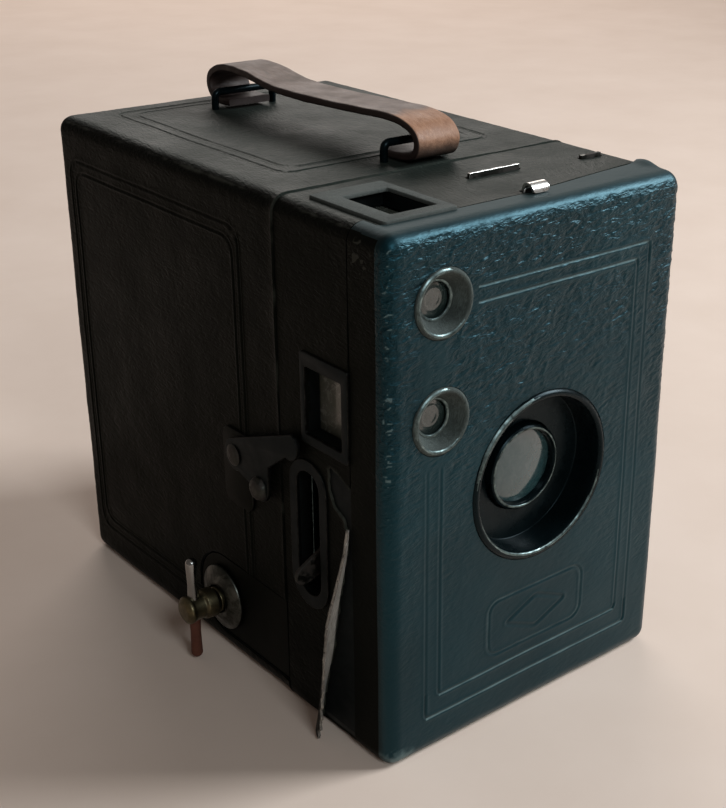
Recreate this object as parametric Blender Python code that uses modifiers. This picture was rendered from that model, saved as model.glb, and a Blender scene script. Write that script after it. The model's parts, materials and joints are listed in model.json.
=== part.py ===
"""Box camera for roll film: a leather-covered rear shell, and a front section that carries the lens, the
shutter, two reflecting finders and the film insert, and slides straight out of the shell.

World frame, in metres: +X is the right-hand side seen from the front, the lens looks along -Y, +Z is up.
The origin is the middle of the shell's flat bottom. Run with: blender --background --python part.py
"""

import math

import bmesh
import bpy
from mathutils import Vector

MM = 0.001
GAP = 0.3 * MM  # running gap between pieces that touch

# Driving dimensions: the leather-covered box
WIDTH = 80 * MM
HEIGHT = 116 * MM
DEPTH = 127 * MM
EDGE_RADIUS = 3.2 * MM
SHELL_WALL = 1.5 * MM
SEAM_Y = -28 * MM  # joint between the rear shell and the front section
PANEL_WALL = 1.3 * MM
PANEL_LIP_Y = -52.3 * MM  # rear edge of the front panel's lip on the sides
PANEL_TOP_LIP_Y = -56.5 * MM  # the lip is shorter along the top
FRONT_WALL = 2.8 * MM

# Optics, as (x, z) on the front
LENS = (1.0 * MM, 56.7 * MM)
FINDER_UPPER = (-26.5 * MM, 101.2 * MM)
FINDER_LOWER = (-26.9 * MM, 77.1 * MM)
WELL_RADIUS = 18.8 * MM
FINDER_RADIUS = 6.9 * MM

# Openings of the two finders, as (low, high)
TOP_WINDOW_X = (-31 * MM, -20 * MM)
TOP_WINDOW_Y = (-52 * MM, -37 * MM)
SIDE_WINDOW_Y = (-50 * MM, -38 * MM)
SIDE_WINDOW_Z = (69.5 * MM, 84 * MM)

# Shutter, stops and close-up lens: planes behind the lens, as y
TIME_SLIDE_Y = -55.2 * MM
CLOSE_UP_Y = -49.0 * MM
CLOSE_UP_TAB_Y = -43.2 * MM
SHUTTER_PLATE_Y = -46.4 * MM
SHUTTER_DISC_Y = -44.7 * MM
APERTURE_Y = -41.1 * MM
LEVER_Y = -38.1 * MM
LEVER_PIVOT = (-20 * MM, 47 * MM)
DISC_PIVOT = (10 * MM, 42 * MM)
LEVER_SLOT_Y = (-41.7 * MM, -33.9 * MM)
LEVER_SLOT_Z = (31.5 * MM, 60.5 * MM)

# Film transport
SPOOL_Y = -1.5 * MM
TAKEUP_Z = 13.7 * MM
SUPPLY_Z = HEIGHT - TAKEUP_Z
SPOOL_LENGTH = 62 * MM
FLANGE_RADIUS = 11.5 * MM
ROLLER_Y = 55.6 * MM
ROLLER_Z = (8.8 * MM, 107.2 * MM)
GATE_Y = 57.7 * MM
FRAME_HALF = (28 * MM, 41.5 * MM)  # half of the picture's width and height
INSERT_X = 36.4 * MM  # middle plane of the insert's side plates
NOTCH_RADIUS = 10.4 * MM  # open notch in the shell's left wall, round the winding key

# Latch on each side, as (y, z)
LATCH_PIVOT = (-12.5 * MM, 55.5 * MM)
LATCH_STUD = (-33.4 * MM, 65.2 * MM)

FRONT_Y = -DEPTH / 2
BACK_Y = DEPTH / 2
HALF = WIDTH / 2

X_AXIS = Vector((1, 0, 0))
Y_AXIS = Vector((0, 1, 0))
Z_AXIS = Vector((0, 0, 1))


# Scene


def clear_scene():
    for obj in list(bpy.data.objects):
        bpy.data.objects.remove(obj, do_unlink=True)


def new_collection(name):
    made = bpy.data.collections.new(name)
    bpy.context.scene.collection.children.link(made)
    return made


def material(name, colour, roughness, metallic=0.0, alpha=1.0):
    made = bpy.data.materials.new(name)
    made.use_nodes = True
    shader = made.node_tree.nodes["Principled BSDF"]
    shader.inputs["Base Color"].default_value = (*colour, 1.0)
    shader.inputs["Roughness"].default_value = roughness
    shader.inputs["Metallic"].default_value = metallic
    shader.inputs["Alpha"].default_value = alpha
    made.diffuse_color = (*colour, alpha)
    return made


def pivot(name, place, parent=None):
    """An empty for one rigid body, standing on the joint that moves it."""
    empty = bpy.data.objects.new(name, None)
    empty.empty_display_size = 0.01
    empty["place"] = place
    PARTS.objects.link(empty)
    if parent:
        attach(empty, parent, place)
    else:
        empty.location = place
    return empty


def attach(obj, parent, place):
    """Parents the object and puts its origin at a place in the world."""
    obj.parent = parent
    obj.location = Vector(place) - Vector(parent["place"])


def add(name, data, look, parent, place=(0, 0, 0)):
    obj = bpy.data.objects.new(name, data)
    PARTS.objects.link(obj)
    obj.data.materials.append(look)
    attach(obj, parent, place)
    return obj


def add_cutter(name, data, place=(0, 0, 0)):
    obj = bpy.data.objects.new("cutter_" + name, data)
    CUTTERS.objects.link(obj)
    obj.location = place
    obj.hide_render = True
    obj.display_type = "WIRE"
    return obj


# Shapes


def finished(bm, name, smooth=False):
    mesh = bpy.data.meshes.new(name)
    bm.to_mesh(mesh)
    bm.free()
    if smooth:
        mesh.shade_smooth()
        mesh.set_sharp_from_angle(angle=math.radians(35))
    return mesh


def box_mesh(low, high, radius=0.0, along=(), borders=(), segments=3):
    """A box between two corners. Edges parallel to the axes in along, and those round the faces in borders,
    written as (axis, side), are rounded."""
    low, high = Vector(low), Vector(high)
    bm = bmesh.new()
    bmesh.ops.create_cube(bm, size=1.0)
    bmesh.ops.scale(bm, vec=high - low, verts=bm.verts)
    bmesh.ops.translate(bm, vec=(low + high) / 2, verts=bm.verts)
    rounded = []
    for edge in bm.edges:
        run = edge.verts[1].co - edge.verts[0].co
        parallel = any(abs(run[axis]) > 1e-6 for axis in along)
        limits = {-1: low, 1: high}
        bordering = any(
            all(abs(vert.co[axis] - limits[side][axis]) < 1e-6 for vert in edge.verts)
            for axis, side in borders
        )
        if parallel or bordering:
            rounded.append(edge)
    if rounded:
        bmesh.ops.bevel(
            bm, geom=rounded, offset=radius, segments=segments, profile=0.5, affect="EDGES"
        )
    return finished(bm, "box")


def cylinder_mesh(radius, length, axis, segments=24):
    """A cylinder about its own middle, along an axis."""
    bm = bmesh.new()
    bmesh.ops.create_cone(
        bm, cap_ends=True, segments=segments, radius1=radius, radius2=radius, depth=length
    )
    turn = Z_AXIS.rotation_difference(axis).to_matrix()
    bmesh.ops.rotate(bm, cent=(0, 0, 0), matrix=turn, verts=bm.verts)
    return finished(bm, "cylinder", smooth=True)


def turned(name, profile, place, axis, look, parent, steps=32, ring=True):
    """A profile of (radius, height) points turned about an axis, from the top down its outer side.
    A ring's profile is closed; any other begins and ends on the axis."""
    mesh = bpy.data.meshes.new(name)
    points = [(radius, 0, height) for radius, height in profile]
    edges = [(i, i + 1) for i in range(len(points) - 1)]
    if ring:
        edges.append((len(points) - 1, 0))
    mesh.from_pydata(points, edges, [])
    obj = add(name, mesh, look, parent, place)
    obj.rotation_euler = Z_AXIS.rotation_difference(axis).to_euler()
    screw = obj.modifiers.new("turn", "SCREW")
    screw.steps = steps
    screw.render_steps = steps
    screw.use_merge_vertices = True
    screw.merge_threshold = 0.00001
    return obj


def circle(u, v, radius, segments=24):
    turn = 2 * math.pi / segments
    return [
        (u + radius * math.cos(turn * i), v + radius * math.sin(turn * i))
        for i in range(segments)
    ]


def arc(u, v, radius, start, end, segments=6):
    """Points along an arc between two angles in degrees."""
    return [
        (
            u + radius * math.cos(math.radians(start + (end - start) * i / segments)),
            v + radius * math.sin(math.radians(start + (end - start) * i / segments)),
        )
        for i in range(segments + 1)
    ]


def rectangle(low, high, radius, segments=4):
    """A rectangle between two corners (u, v), with round corners."""
    u0, v0, u1, v1 = low[0] + radius, low[1] + radius, high[0] - radius, high[1] - radius
    return (
        arc(u1, v1, radius, 0, 90, segments)
        + arc(u0, v1, radius, 90, 180, segments)
        + arc(u0, v0, radius, 180, 270, segments)
        + arc(u1, v0, radius, 270, 360, segments)
    )


FACING = {
    "X": (math.pi / 2, 0, math.pi / 2),  # outlines are (y, z)
    "Y": (math.pi / 2, 0, 0),  # outlines are (x, z)
    "Z": (0, 0, 0),  # outlines are (x, y)
}


def plate_curve(name, outlines, thickness):
    curve = bpy.data.curves.new(name, "CURVE")
    curve.dimensions = "2D"
    curve.fill_mode = "BOTH"
    curve.extrude = thickness / 2
    for outline in outlines:
        spline = curve.splines.new("POLY")
        spline.points.add(len(outline) - 1)
        for point, (u, v) in zip(spline.points, outline):
            point.co = (u, v, 0, 1)
        spline.use_cyclic_u = True
    return curve


def plate(name, outlines, thickness, level, facing, look, parent):
    """A flat sheet square to an axis, its middle at a level on it. The first outline is its edge, in world
    coordinates, and any others are its holes."""
    obj = add(name, plate_curve(name, outlines, thickness), look, parent)
    origin = Vector(parent["place"])
    along = {"X": X_AXIS, "Y": Y_AXIS, "Z": Z_AXIS}[facing]
    obj.location = along * level - origin
    obj.rotation_euler = FACING[facing]
    return obj


def as_mesh(obj):
    """The same object as a welded mesh, for a Boolean."""
    bpy.context.view_layer.update()
    graph = bpy.context.evaluated_depsgraph_get()
    mesh = bpy.data.meshes.new_from_object(obj.evaluated_get(graph))
    bm = bmesh.new()
    bm.from_mesh(mesh)
    bmesh.ops.remove_doubles(bm, verts=bm.verts, dist=0.000001)
    bm.to_mesh(mesh)
    bm.free()
    name, parent, matrix = obj.name, obj.parent, obj.matrix_world.copy()
    home = obj.users_collection[0]
    bpy.data.objects.remove(obj, do_unlink=True)
    made = bpy.data.objects.new(name, mesh)
    home.objects.link(made)
    made.parent = parent
    made.matrix_world = matrix
    return made


def plate_cutter(name, outline, thickness, level, facing):
    curve = plate_curve(name, [outline], thickness)
    obj = add_cutter(name, curve, {"X": X_AXIS, "Y": Y_AXIS, "Z": Z_AXIS}[facing] * level)
    obj.rotation_euler = FACING[facing]
    made = as_mesh(obj)
    made.hide_render = True
    made.display_type = "WIRE"
    return made


def tube(name, points, radius, look, parent):
    """Round wire through points in the world."""
    curve = bpy.data.curves.new(name, "CURVE")
    curve.dimensions = "3D"
    curve.bevel_depth = radius
    curve.bevel_resolution = 2
    curve.use_fill_caps = True
    spline = curve.splines.new("POLY")
    spline.points.add(len(points) - 1)
    for point, place in zip(spline.points, points):
        point.co = (*(Vector(place) - Vector(parent["place"])), 1)
    return add(name, curve, look, parent, parent["place"])


def boolean(obj, other, operation):
    modifier = obj.modifiers.new(other.name, "BOOLEAN")
    modifier.operation = operation
    modifier.object = other


def cut(obj, *cutters):
    for cutter in cutters:
        boolean(obj, cutter, "DIFFERENCE")


def join(obj, *others):
    for other in others:
        boolean(obj, other, "UNION")


def box_cutter(name, low, high):
    return add_cutter(name, box_mesh(low, high))


def hole_cutter(name, place, axis, radius, length, segments=24):
    return add_cutter(name, cylinder_mesh(radius, length, axis, segments), place)


def smooth_path(points, spans):
    """Points on a smooth curve through the given ones (Catmull-Rom)."""
    ends = [points[0]] + list(points) + [points[-1]]
    made = []
    for a, b, c, d in zip(ends, ends[1:], ends[2:], ends[3:]):
        a, b, c, d = Vector(a), Vector(b), Vector(c), Vector(d)
        for i in range(spans):
            t = i / spans
            made.append(
                0.5
                * (2 * b + (c - a) * t + (2 * a - 5 * b + 4 * c - d) * t**2
                   + (3 * b - a - 3 * c + d) * t**3)
            )
    made.append(Vector(points[-1]))
    return made


# Rear shell and what is fixed to it


def notch_outline(inset, front_y):
    """The round-ended notch round the winding key, as (y, z)."""
    radius = NOTCH_RADIUS - inset
    middle = TAKEUP_Z + 0.7 * MM
    return (
        [(front_y, middle - radius)]
        + arc(SPOOL_Y, middle, radius, -90, 90, 12)
        + [(front_y, middle + radius)]
    )


def build_rear_shell():
    wall = SHELL_WALL
    front = SEAM_Y + GAP / 2
    outer = box_mesh(
        (-HALF, front, 0), (HALF, BACK_Y, HEIGHT), EDGE_RADIUS, along=(1,), borders=((1, 1),)
    )
    shell = add("rear_shell", outer, LEATHER, BACK)
    cavity = box_cutter(
        "shell_cavity",
        (-HALF + wall, SEAM_Y - 5 * MM, wall),
        (HALF - wall, BACK_Y - wall, HEIGHT - wall),
    )
    notch = plate_cutter(
        "key_notch", notch_outline(0, SEAM_Y - 5 * MM), 4 * MM, -HALF, "X"
    )
    window = hole_cutter("red_window", (0, BACK_Y, WINDOW_Z), Y_AXIS, 7.2 * MM, 6 * MM)
    bushes = [
        hole_cutter("bush_bottom", BUSH_BOTTOM, Z_AXIS, BUSH_RADIUS + GAP, 8 * MM),
        hole_cutter("bush_side", BUSH_SIDE, X_AXIS, BUSH_RADIUS + GAP, 8 * MM),
    ]
    cut(shell, cavity, notch, window, *bushes)


WINDOW_Z = 32 * MM
BUSH_RADIUS = 6.5 * MM
BUSH_BOTTOM = (0, 20 * MM, 0)
BUSH_SIDE = (HALF, 14 * MM, 58 * MM)


def build_red_window():
    place = (0, BACK_Y, WINDOW_Z)
    ring = [(8.6, 0.9), (8.6, 0.3), (6.9, 0.3), (6.9, -1.2), (6.0, -1.2), (6.0, 0.9)]
    turned("red_window_ring", scaled(ring), place, Y_AXIS, NICKEL, BACK)
    pane = [(0, -0.2), (5.7, -0.2), (5.7, -1.2), (0, -1.2)]
    turned("red_window", scaled(pane), place, Y_AXIS, RED_GLASS, BACK, ring=False)


def scaled(profile):
    return [(radius * MM, height * MM) for radius, height in profile]


def build_tripod_bushes():
    ring = scaled([(6.5, -0.1), (6.5, -2.5), (3.2, -2.5), (3.2, -0.1)])
    turned("tripod_bush_bottom", ring, BUSH_BOTTOM, -Z_AXIS, NICKEL, BACK, steps=24)
    turned("tripod_bush_side", ring, BUSH_SIDE, X_AXIS, NICKEL, BACK, steps=24)


STRAP_X = (-4 * MM, 8 * MM)
STRAP_THICK = 1.6 * MM
STRAP_PATH = [  # (y, z) along the middle of the leather, from the tucked rear end to the front one
    (44, 117.9), (50, 117.9), (53.4, 120.0), (53.3, 123.2), (49.5, 125.5), (44, 126.3), (36, 125.9),
    (27, 124.6), (17, 124.3), (5, 124.5), (-8, 125.0), (-18, 125.3), (-24.6, 124.2), (-27.4, 121.6),
    (-26.4, 118.6), (-22, 117.6), (-16, 117.5),
]  # fmt: skip


def build_strap():
    """A leather band on edge-on path points, as wide as the gap between the lugs' legs."""
    bm = bmesh.new()
    rows = []
    for y, z in smooth_path([(y * MM, z * MM) for y, z in STRAP_PATH], 2):
        rows.append([bm.verts.new((x, y, z)) for x in STRAP_X])
    for a, b in zip(rows, rows[1:]):
        bm.faces.new((a[0], a[1], b[1], b[0]))
    strap = add("strap", finished(bm, "strap", smooth=True), STRAP_LEATHER, BACK)
    solid = strap.modifiers.new("thickness", "SOLIDIFY")
    solid.thickness = STRAP_THICK
    solid.offset = 0
    solid.use_even_offset = True


def build_strap_lugs():
    """Wire staples in the shell's top, each over the tucked end of the strap."""
    left, right = STRAP_X[0] - 2.4 * MM, STRAP_X[1] + 2.4 * MM
    low, high, round_off = HEIGHT + GAP, HEIGHT + 4.6 * MM, 1.2 * MM
    for name, y in (("strap_lug_back", 46.5 * MM), ("strap_lug_front", -20 * MM)):
        points = [
            (left, y, low), (left, y, high - round_off), (left + round_off, y, high),
            (right - round_off, y, high), (right, y, high - round_off), (right, y, low),
        ]  # fmt: skip
        tube(name, points, 0.8 * MM, NICKEL, BACK)


def latch_outline():
    """Hook arm, thumb lobe and pivot eye, as (y, z)."""
    y, z = LATCH_PIVOT
    tip_y, tip_z = LATCH_STUD
    return (
        arc(y, z, 3.8 * MM, -110, 70)
        + arc(tip_y, tip_z, 3.2 * MM, 110, 290)
        + [(-25.6 * MM, 57.2 * MM)]
        + arc(-21.4 * MM, 50.6 * MM, 3.1 * MM, 180, 350)
    )


def build_latches():
    """One latch on each side: its base plate and rivet on the shell, and a hook that swings up off the
    stud on the front section."""
    y, z = LATCH_PIVOT
    base = rectangle((-17 * MM, 42 * MM), (-6 * MM, 60.5 * MM), 2.5 * MM)
    for name, side, body in (("left", -1, LATCH_LEFT), ("right", 1, LATCH_RIGHT)):
        wall = HALF * side
        plate("latch_plate_" + name, [base], 0.7 * MM, wall + 0.65 * MM * side, "X", BLACK_METAL, BACK)
        rivet = scaled([(0, 3.1), (2.3, 3.0), (2.6, 2.6), (1.5, 2.6), (1.5, 1.3), (0, 1.3)])
        turned("latch_rivet_" + name, rivet, (wall, y, z), X_AXIS * side, NICKEL, BACK, 16, ring=False)
        hook = plate(
            "latch_hook_" + name,
            [latch_outline(), circle(y, z, 1.8 * MM, 16)],
            1.0 * MM,
            wall + 1.8 * MM * side,
            "X",
            BLACK_METAL,
            body,
        )
        knob_place = (wall + 2.9 * MM * side, -21.4 * MM, 50.6 * MM)
        knob = add_cutter("knob_" + name, cylinder_mesh(2.3 * MM, 1.8 * MM, X_AXIS, 16), knob_place)
        join(as_mesh(hook), knob)
        stud_place = (wall + 0.65 * MM * side, *LATCH_STUD)
        add("latch_stud_" + name, cylinder_mesh(1.7 * MM, 0.7 * MM, X_AXIS, 16), NICKEL, FRONT, stud_place)


# Front section


def build_front_body():
    """Four walls: the outer band between the seam and the panel, a spigot that fills the panel, and a
    light-trap lip that enters the shell."""
    wall = FRONT_WALL
    main = box_mesh(
        (-HALF, PANEL_LIP_Y + GAP, 0), (HALF, SEAM_Y - GAP / 2, HEIGHT), EDGE_RADIUS, along=(1,)
    )
    body = add("front_body", main, LEATHER, FRONT)
    inside = PANEL_WALL + GAP
    spigot = box_cutter(
        "spigot",
        (-HALF + inside, FRONT_Y + inside, inside),
        (HALF - inside, PANEL_LIP_Y + 2 * MM, HEIGHT - inside),
    )
    bar_half = HALF - EDGE_RADIUS - 0.8 * MM
    bar = box_cutter(
        "top_bar",
        (-bar_half, PANEL_TOP_LIP_Y + GAP, HEIGHT - wall),
        (bar_half, PANEL_LIP_Y + 2 * MM, HEIGHT),
    )
    lip_in = SHELL_WALL + GAP
    lip = box_cutter(
        "light_trap",
        (-HALF + lip_in, SEAM_Y - 2 * MM, lip_in),
        (HALF - lip_in, SEAM_Y + 6 * MM, HEIGHT - lip_in),
    )
    join(body, spigot, bar, lip)
    cavity = box_cutter(
        "front_cavity",
        (-HALF + wall, FRONT_Y - 5 * MM, wall),
        (HALF - wall, SEAM_Y + 10 * MM, HEIGHT - wall),
    )
    top_window = box_cutter(
        "top_window",
        (TOP_WINDOW_X[0], TOP_WINDOW_Y[0], HEIGHT - 6 * MM),
        (TOP_WINDOW_X[1], TOP_WINDOW_Y[1], HEIGHT + 3 * MM),
    )
    side_window = box_cutter(
        "side_window",
        (-HALF - 3 * MM, SIDE_WINDOW_Y[0], SIDE_WINDOW_Z[0]),
        (-HALF + 6 * MM, SIDE_WINDOW_Y[1], SIDE_WINDOW_Z[1]),
    )
    lever_slot = box_cutter(
        "lever_slot",
        (-HALF - 3 * MM, LEVER_SLOT_Y[0], LEVER_SLOT_Z[0]),
        (-HALF + 6 * MM, LEVER_SLOT_Y[1], LEVER_SLOT_Z[1]),
    )
    slots = [
        slide_slot("aperture", APERTURE_Y, APERTURE_TAB_X),
        slide_slot("time", TIME_SLIDE_Y, TIME_X),
        slide_slot("close_up", CLOSE_UP_TAB_Y, CLOSE_UP_TAB_X),
    ]
    cut(body, cavity, top_window, side_window, lever_slot, *slots)


def slide_slot(name, y, x_range):
    """A slot through the top wall for a slide's tab."""
    margin, half = 0.5 * MM, 0.9 * MM
    return box_cutter(
        "slot_" + name,
        (x_range[0] - margin, y - half, HEIGHT - 6 * MM),
        (x_range[1] + margin, y + half, HEIGHT + 3 * MM),
    )


def build_front_panel():
    """Pressed cap with a lip down each side, holed for the lens well and the finder lenses."""
    wall = PANEL_WALL
    outer = box_mesh(
        (-HALF, FRONT_Y, 0), (HALF, PANEL_LIP_Y, HEIGHT), EDGE_RADIUS, along=(1,), borders=((1, -1),)
    )
    panel = add("front_panel", outer, LEATHER, FRONT)
    cavity = box_cutter(
        "panel_cavity",
        (-HALF + wall, FRONT_Y + wall, wall),
        (HALF - wall, PANEL_LIP_Y + 5 * MM, HEIGHT - wall),
    )
    top_half = HALF - EDGE_RADIUS - 0.5 * MM
    top_relief = box_cutter(
        "panel_top_relief",
        (-top_half, PANEL_TOP_LIP_Y, HEIGHT - FRONT_WALL - GAP),
        (top_half, PANEL_LIP_Y + 5 * MM, HEIGHT + 3 * MM),
    )
    holes = [
        hole_cutter("well", (LENS[0], FRONT_Y, LENS[1]), Y_AXIS, WELL_RADIUS + GAP, 6 * MM, 48)
    ]
    for name, (x, z) in (("upper", FINDER_UPPER), ("lower", FINDER_LOWER)):
        place = (x, FRONT_Y, z)
        holes.append(hole_cutter("finder_" + name, place, Y_AXIS, FINDER_RADIUS + GAP, 6 * MM))
    cut(panel, cavity, top_relief, *holes)


def build_lens():
    place = (LENS[0], FRONT_Y, LENS[1])
    well = [
        (18.3, 0.5), (18.8, 0.2), (18.8, -7.2), (10.0, -7.2), (10.0, -6.2), (17.5, -6.2), (17.7, 0.3),
    ]  # fmt: skip
    turned("lens_well", scaled(well), place, -Y_AXIS, BLACK_METAL, FRONT, 48)
    barrel = [
        (9.3, -4.4), (9.7, -4.8), (9.7, -7.5), (12.0, -7.5), (12.0, -8.8), (6.8, -8.8), (6.8, -7.5),
        (8.7, -7.5), (8.7, -4.8),
    ]  # fmt: skip
    turned("lens_barrel", scaled(barrel), place, -Y_AXIS, BLACK_METAL, FRONT, 32)
    glass = [(0, -5.3), (4.5, -5.5), (8.4, -6.1), (8.4, -7.2), (0, -7.2)]
    turned("lens_glass", scaled(glass), place, -Y_AXIS, GLASS, FRONT, 32, ring=False)


def build_finder_lenses():
    ring = [(6.4, 0.6), (6.9, 0.3), (6.9, -2.9), (4.1, -2.9), (4.1, -2.4), (5.9, 0.3)]
    lens = [(0, -3.1), (3.0, -3.3), (5.5, -3.8), (5.5, -4.9), (0, -4.9)]
    for name, (x, z) in (("upper", FINDER_UPPER), ("lower", FINDER_LOWER)):
        place = (x, FRONT_Y, z)
        turned("finder_ring_" + name, scaled(ring), place, -Y_AXIS, BLACK_METAL, FRONT, 32)
        turned("finder_lens_" + name, scaled(lens), place, -Y_AXIS, GLASS, FRONT, 24, ring=False)


def build_finder_mirrors():
    """Mirrors at 45 degrees: one turns the upper lens's image up, the other turns the lower one's left."""
    size = (12 * MM, 18 * MM, 1 * MM)
    for name, place, turn in (
        ("finder_mirror_top", (FINDER_UPPER[0], -44.5 * MM, FINDER_UPPER[1]), (math.pi / 4, 0, 0)),
        ("finder_mirror_side", (FINDER_LOWER[0], -44 * MM, FINDER_LOWER[1]), (math.pi / 2, 0, -math.pi / 4)),
    ):
        wide, tall, thick = size
        if name.endswith("side"):
            wide, tall = tall, wide
        mesh = box_mesh((-wide / 2, -tall / 2, -thick / 2), (wide / 2, tall / 2, thick / 2))
        mirror = add(name, mesh, MIRROR, FRONT, place)
        mirror.rotation_euler = turn


def build_finder_windows():
    x0, x1 = TOP_WINDOW_X
    y0, y1 = TOP_WINDOW_Y
    edge = rectangle((-35.4 * MM, -57 * MM), (-17.4 * MM, -33.2 * MM), 1 * MM, 2)
    opening = rectangle((x0, y0), (x1, y1), 0.5 * MM, 1)
    plate("finder_top_frame", [edge, opening], 0.7 * MM, HEIGHT + 0.65 * MM, "Z", BLACK_METAL, FRONT)
    pane = rectangle((x0 - 1.5 * MM, y0 - 1.5 * MM), (x1 + 1.5 * MM, y1 + 1.5 * MM), 0.5 * MM, 1)
    plate("finder_top_glass", [pane], 1 * MM, HEIGHT - 3.8 * MM, "Z", GLASS, FRONT)
    y0, y1 = SIDE_WINDOW_Y
    z0, z1 = SIDE_WINDOW_Z
    edge = rectangle((-52.2 * MM, 67.2 * MM), (-36.4 * MM, 87.2 * MM), 1 * MM, 2)
    opening = rectangle((y0, z0), (y1, z1), 0.5 * MM, 1)
    plate("finder_side_frame", [edge, opening], 0.6 * MM, -HALF - 0.6 * MM, "X", BLACK_METAL, FRONT)
    pane = rectangle((y0 - 1.5 * MM, z0 - 1.5 * MM), (y1 + 1.5 * MM, z1 + 1.5 * MM), 0.5 * MM, 1)
    plate("finder_side_glass", [pane], 1 * MM, -HALF + 3.6 * MM, "X", GLASS, FRONT)


# Shutter, stops and close-up lens

APERTURE_TAB_X = (-1 * MM, 13 * MM)
APERTURE_TOP = 117.5 * MM
STOPS = ((0, 4.5), (9, 3.4), (18, 2.5))  # (drop below the lens's axis, hole radius) in mm
TIME_X = (1 * MM, 5.5 * MM)
CLOSE_UP_TAB_X = (29.5 * MM, 35.5 * MM)
CLOSE_UP_DROP = 22 * MM  # how far the close-up lens rests below the axis


def build_shutter_plate():
    """Fixed plate with the light hole and the pivots of the disc and the lever."""
    low_x, high_x, low_z, high_z = -36.5 * MM, 36.5 * MM, 3.4 * MM, 112.6 * MM
    step_z = 62 * MM
    edge = [
        (low_x, low_z), (high_x, low_z), (high_x, step_z), (26 * MM, step_z), (26 * MM, high_z),
        (-15 * MM, high_z), (-15 * MM, step_z), (low_x, step_z),
    ]  # fmt: skip
    hole = circle(*LENS, 6.2 * MM)
    base = plate("shutter_plate", [edge, hole], 1 * MM, SHUTTER_PLATE_Y, "Y", BLACK_METAL, FRONT)
    posts = []
    for name, (x, z), end_y in (
        ("lever_post", LEVER_PIVOT, LEVER_Y + 1.2 * MM),
        ("disc_post", DISC_PIVOT, SHUTTER_DISC_Y + 1.2 * MM),
    ):
        middle = (SHUTTER_PLATE_Y + end_y) / 2
        post = cylinder_mesh(1.2 * MM, end_y - SHUTTER_PLATE_Y, Y_AXIS, 12)
        posts.append(add_cutter(name, post, (x, middle, z)))
    join(as_mesh(base), *posts)


def build_shutter_disc():
    """A disc with one opening, which passes the light hole midway through its swing."""
    x, z = DISC_PIVOT
    reach = math.hypot(LENS[0] - x, LENS[1] - z)
    start = math.atan2(LENS[1] - z, LENS[0] - x) + math.radians(DISC_SWING / 2)
    opening = circle(x + reach * math.cos(start), z + reach * math.sin(start), 5 * MM)
    outlines = [circle(x, z, 24.5 * MM, 40), circle(x, z, 1.6 * MM, 12), opening]
    plate("shutter_disc", outlines, 0.6 * MM, SHUTTER_DISC_Y, "Y", BLACK_METAL, DISC)


LEVER_SWING = 48
DISC_SWING = 72
LEVER_START = -24  # the lever's slope at rest, in degrees below level


def build_shutter_lever():
    """A flat arm from its pivot out through the side slot, with a rounded thumb end."""
    x, z = LEVER_PIVOT
    slope = math.radians(180 - LEVER_START)
    reach = 24.6 * MM
    tip = (x + reach * math.cos(slope), z + reach * math.sin(slope))
    turn = math.degrees(slope)
    edge = arc(*tip, 2.2 * MM, turn - 90, turn + 90) + arc(x, z, 4 * MM, turn + 90, turn + 270, 10)
    plate(
        "shutter_lever", [edge, circle(x, z, 1.6 * MM, 12)], 1 * MM, LEVER_Y, "Y", NICKEL, LEVER
    )


def build_lever_escutcheon():
    edge = rectangle((-44.3 * MM, 28.4 * MM), (-31.3 * MM, 63.2 * MM), 6.4 * MM, 6)
    (y0, y1), (z0, z1) = LEVER_SLOT_Y, LEVER_SLOT_Z
    slot = rectangle((y0, z0), (y1, z1), 3.6 * MM, 5)
    plate("lever_escutcheon", [edge, slot], 0.5 * MM, -HALF - 0.55 * MM, "X", BLACK_METAL, FRONT)


def build_aperture_slide():
    x, z = LENS
    low, shoulder = 26 * MM, 94 * MM
    edge = [
        (-9 * MM, low), (APERTURE_TAB_X[1], low), (APERTURE_TAB_X[1], APERTURE_TOP),
        (APERTURE_TAB_X[0], APERTURE_TOP), (APERTURE_TAB_X[0], shoulder), (-9 * MM, shoulder),
    ]  # fmt: skip
    holes = [circle(x, z - drop * MM, radius * MM, 20) for drop, radius in STOPS]
    plate("aperture_slide", [edge, *holes], 0.8 * MM, APERTURE_Y, "Y", NICKEL, APERTURE)


def build_time_slide():
    edge = rectangle((TIME_X[0], 79 * MM), (TIME_X[1], 117.3 * MM), 1 * MM, 2)
    plate("time_slide", [edge], 0.8 * MM, TIME_SLIDE_Y, "Y", NICKEL, TIME)


def build_close_up():
    """The close-up lens's plate lies ahead of the shutter, and steps back to its tab above it."""
    x, z = LENS[0], LENS[1] - CLOSE_UP_DROP
    x0, x1 = CLOSE_UP_TAB_X
    step_z = 84 * MM
    edge = [
        (x - 10 * MM, z - 10 * MM), (x1, z - 10 * MM), (x1, step_z), (x0, step_z), (x0, z + 10 * MM),
        (x - 10 * MM, z + 10 * MM),
    ]  # fmt: skip
    carrier = plate(
        "close_up_slide", [edge, circle(x, z, 7.5 * MM)], 0.9 * MM, CLOSE_UP_Y, "Y", NICKEL, CLOSE_UP
    )
    thick = 0.45 * MM
    step = box_cutter(
        "close_up_step",
        (x0, CLOSE_UP_Y - thick, step_z - 1 * MM),
        (x1, CLOSE_UP_TAB_Y + thick, step_z),
    )
    tab = box_cutter(
        "close_up_tab",
        (x0 + 0.01 * MM, CLOSE_UP_TAB_Y - thick, step_z - 0.9 * MM),
        (x1 - 0.01 * MM, CLOSE_UP_TAB_Y + thick - 0.01 * MM, 117.1 * MM),
    )
    join(as_mesh(carrier), step, tab)
    lens = [(0, 0.7), (4, 0.55), (7.1, 0.2), (7.1, -0.4), (0, -0.4)]
    turned("close_up_lens", scaled(lens), (x, CLOSE_UP_Y, z), -Y_AXIS, GLASS, CLOSE_UP, 24, ring=False)


# Film insert and winding


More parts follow.
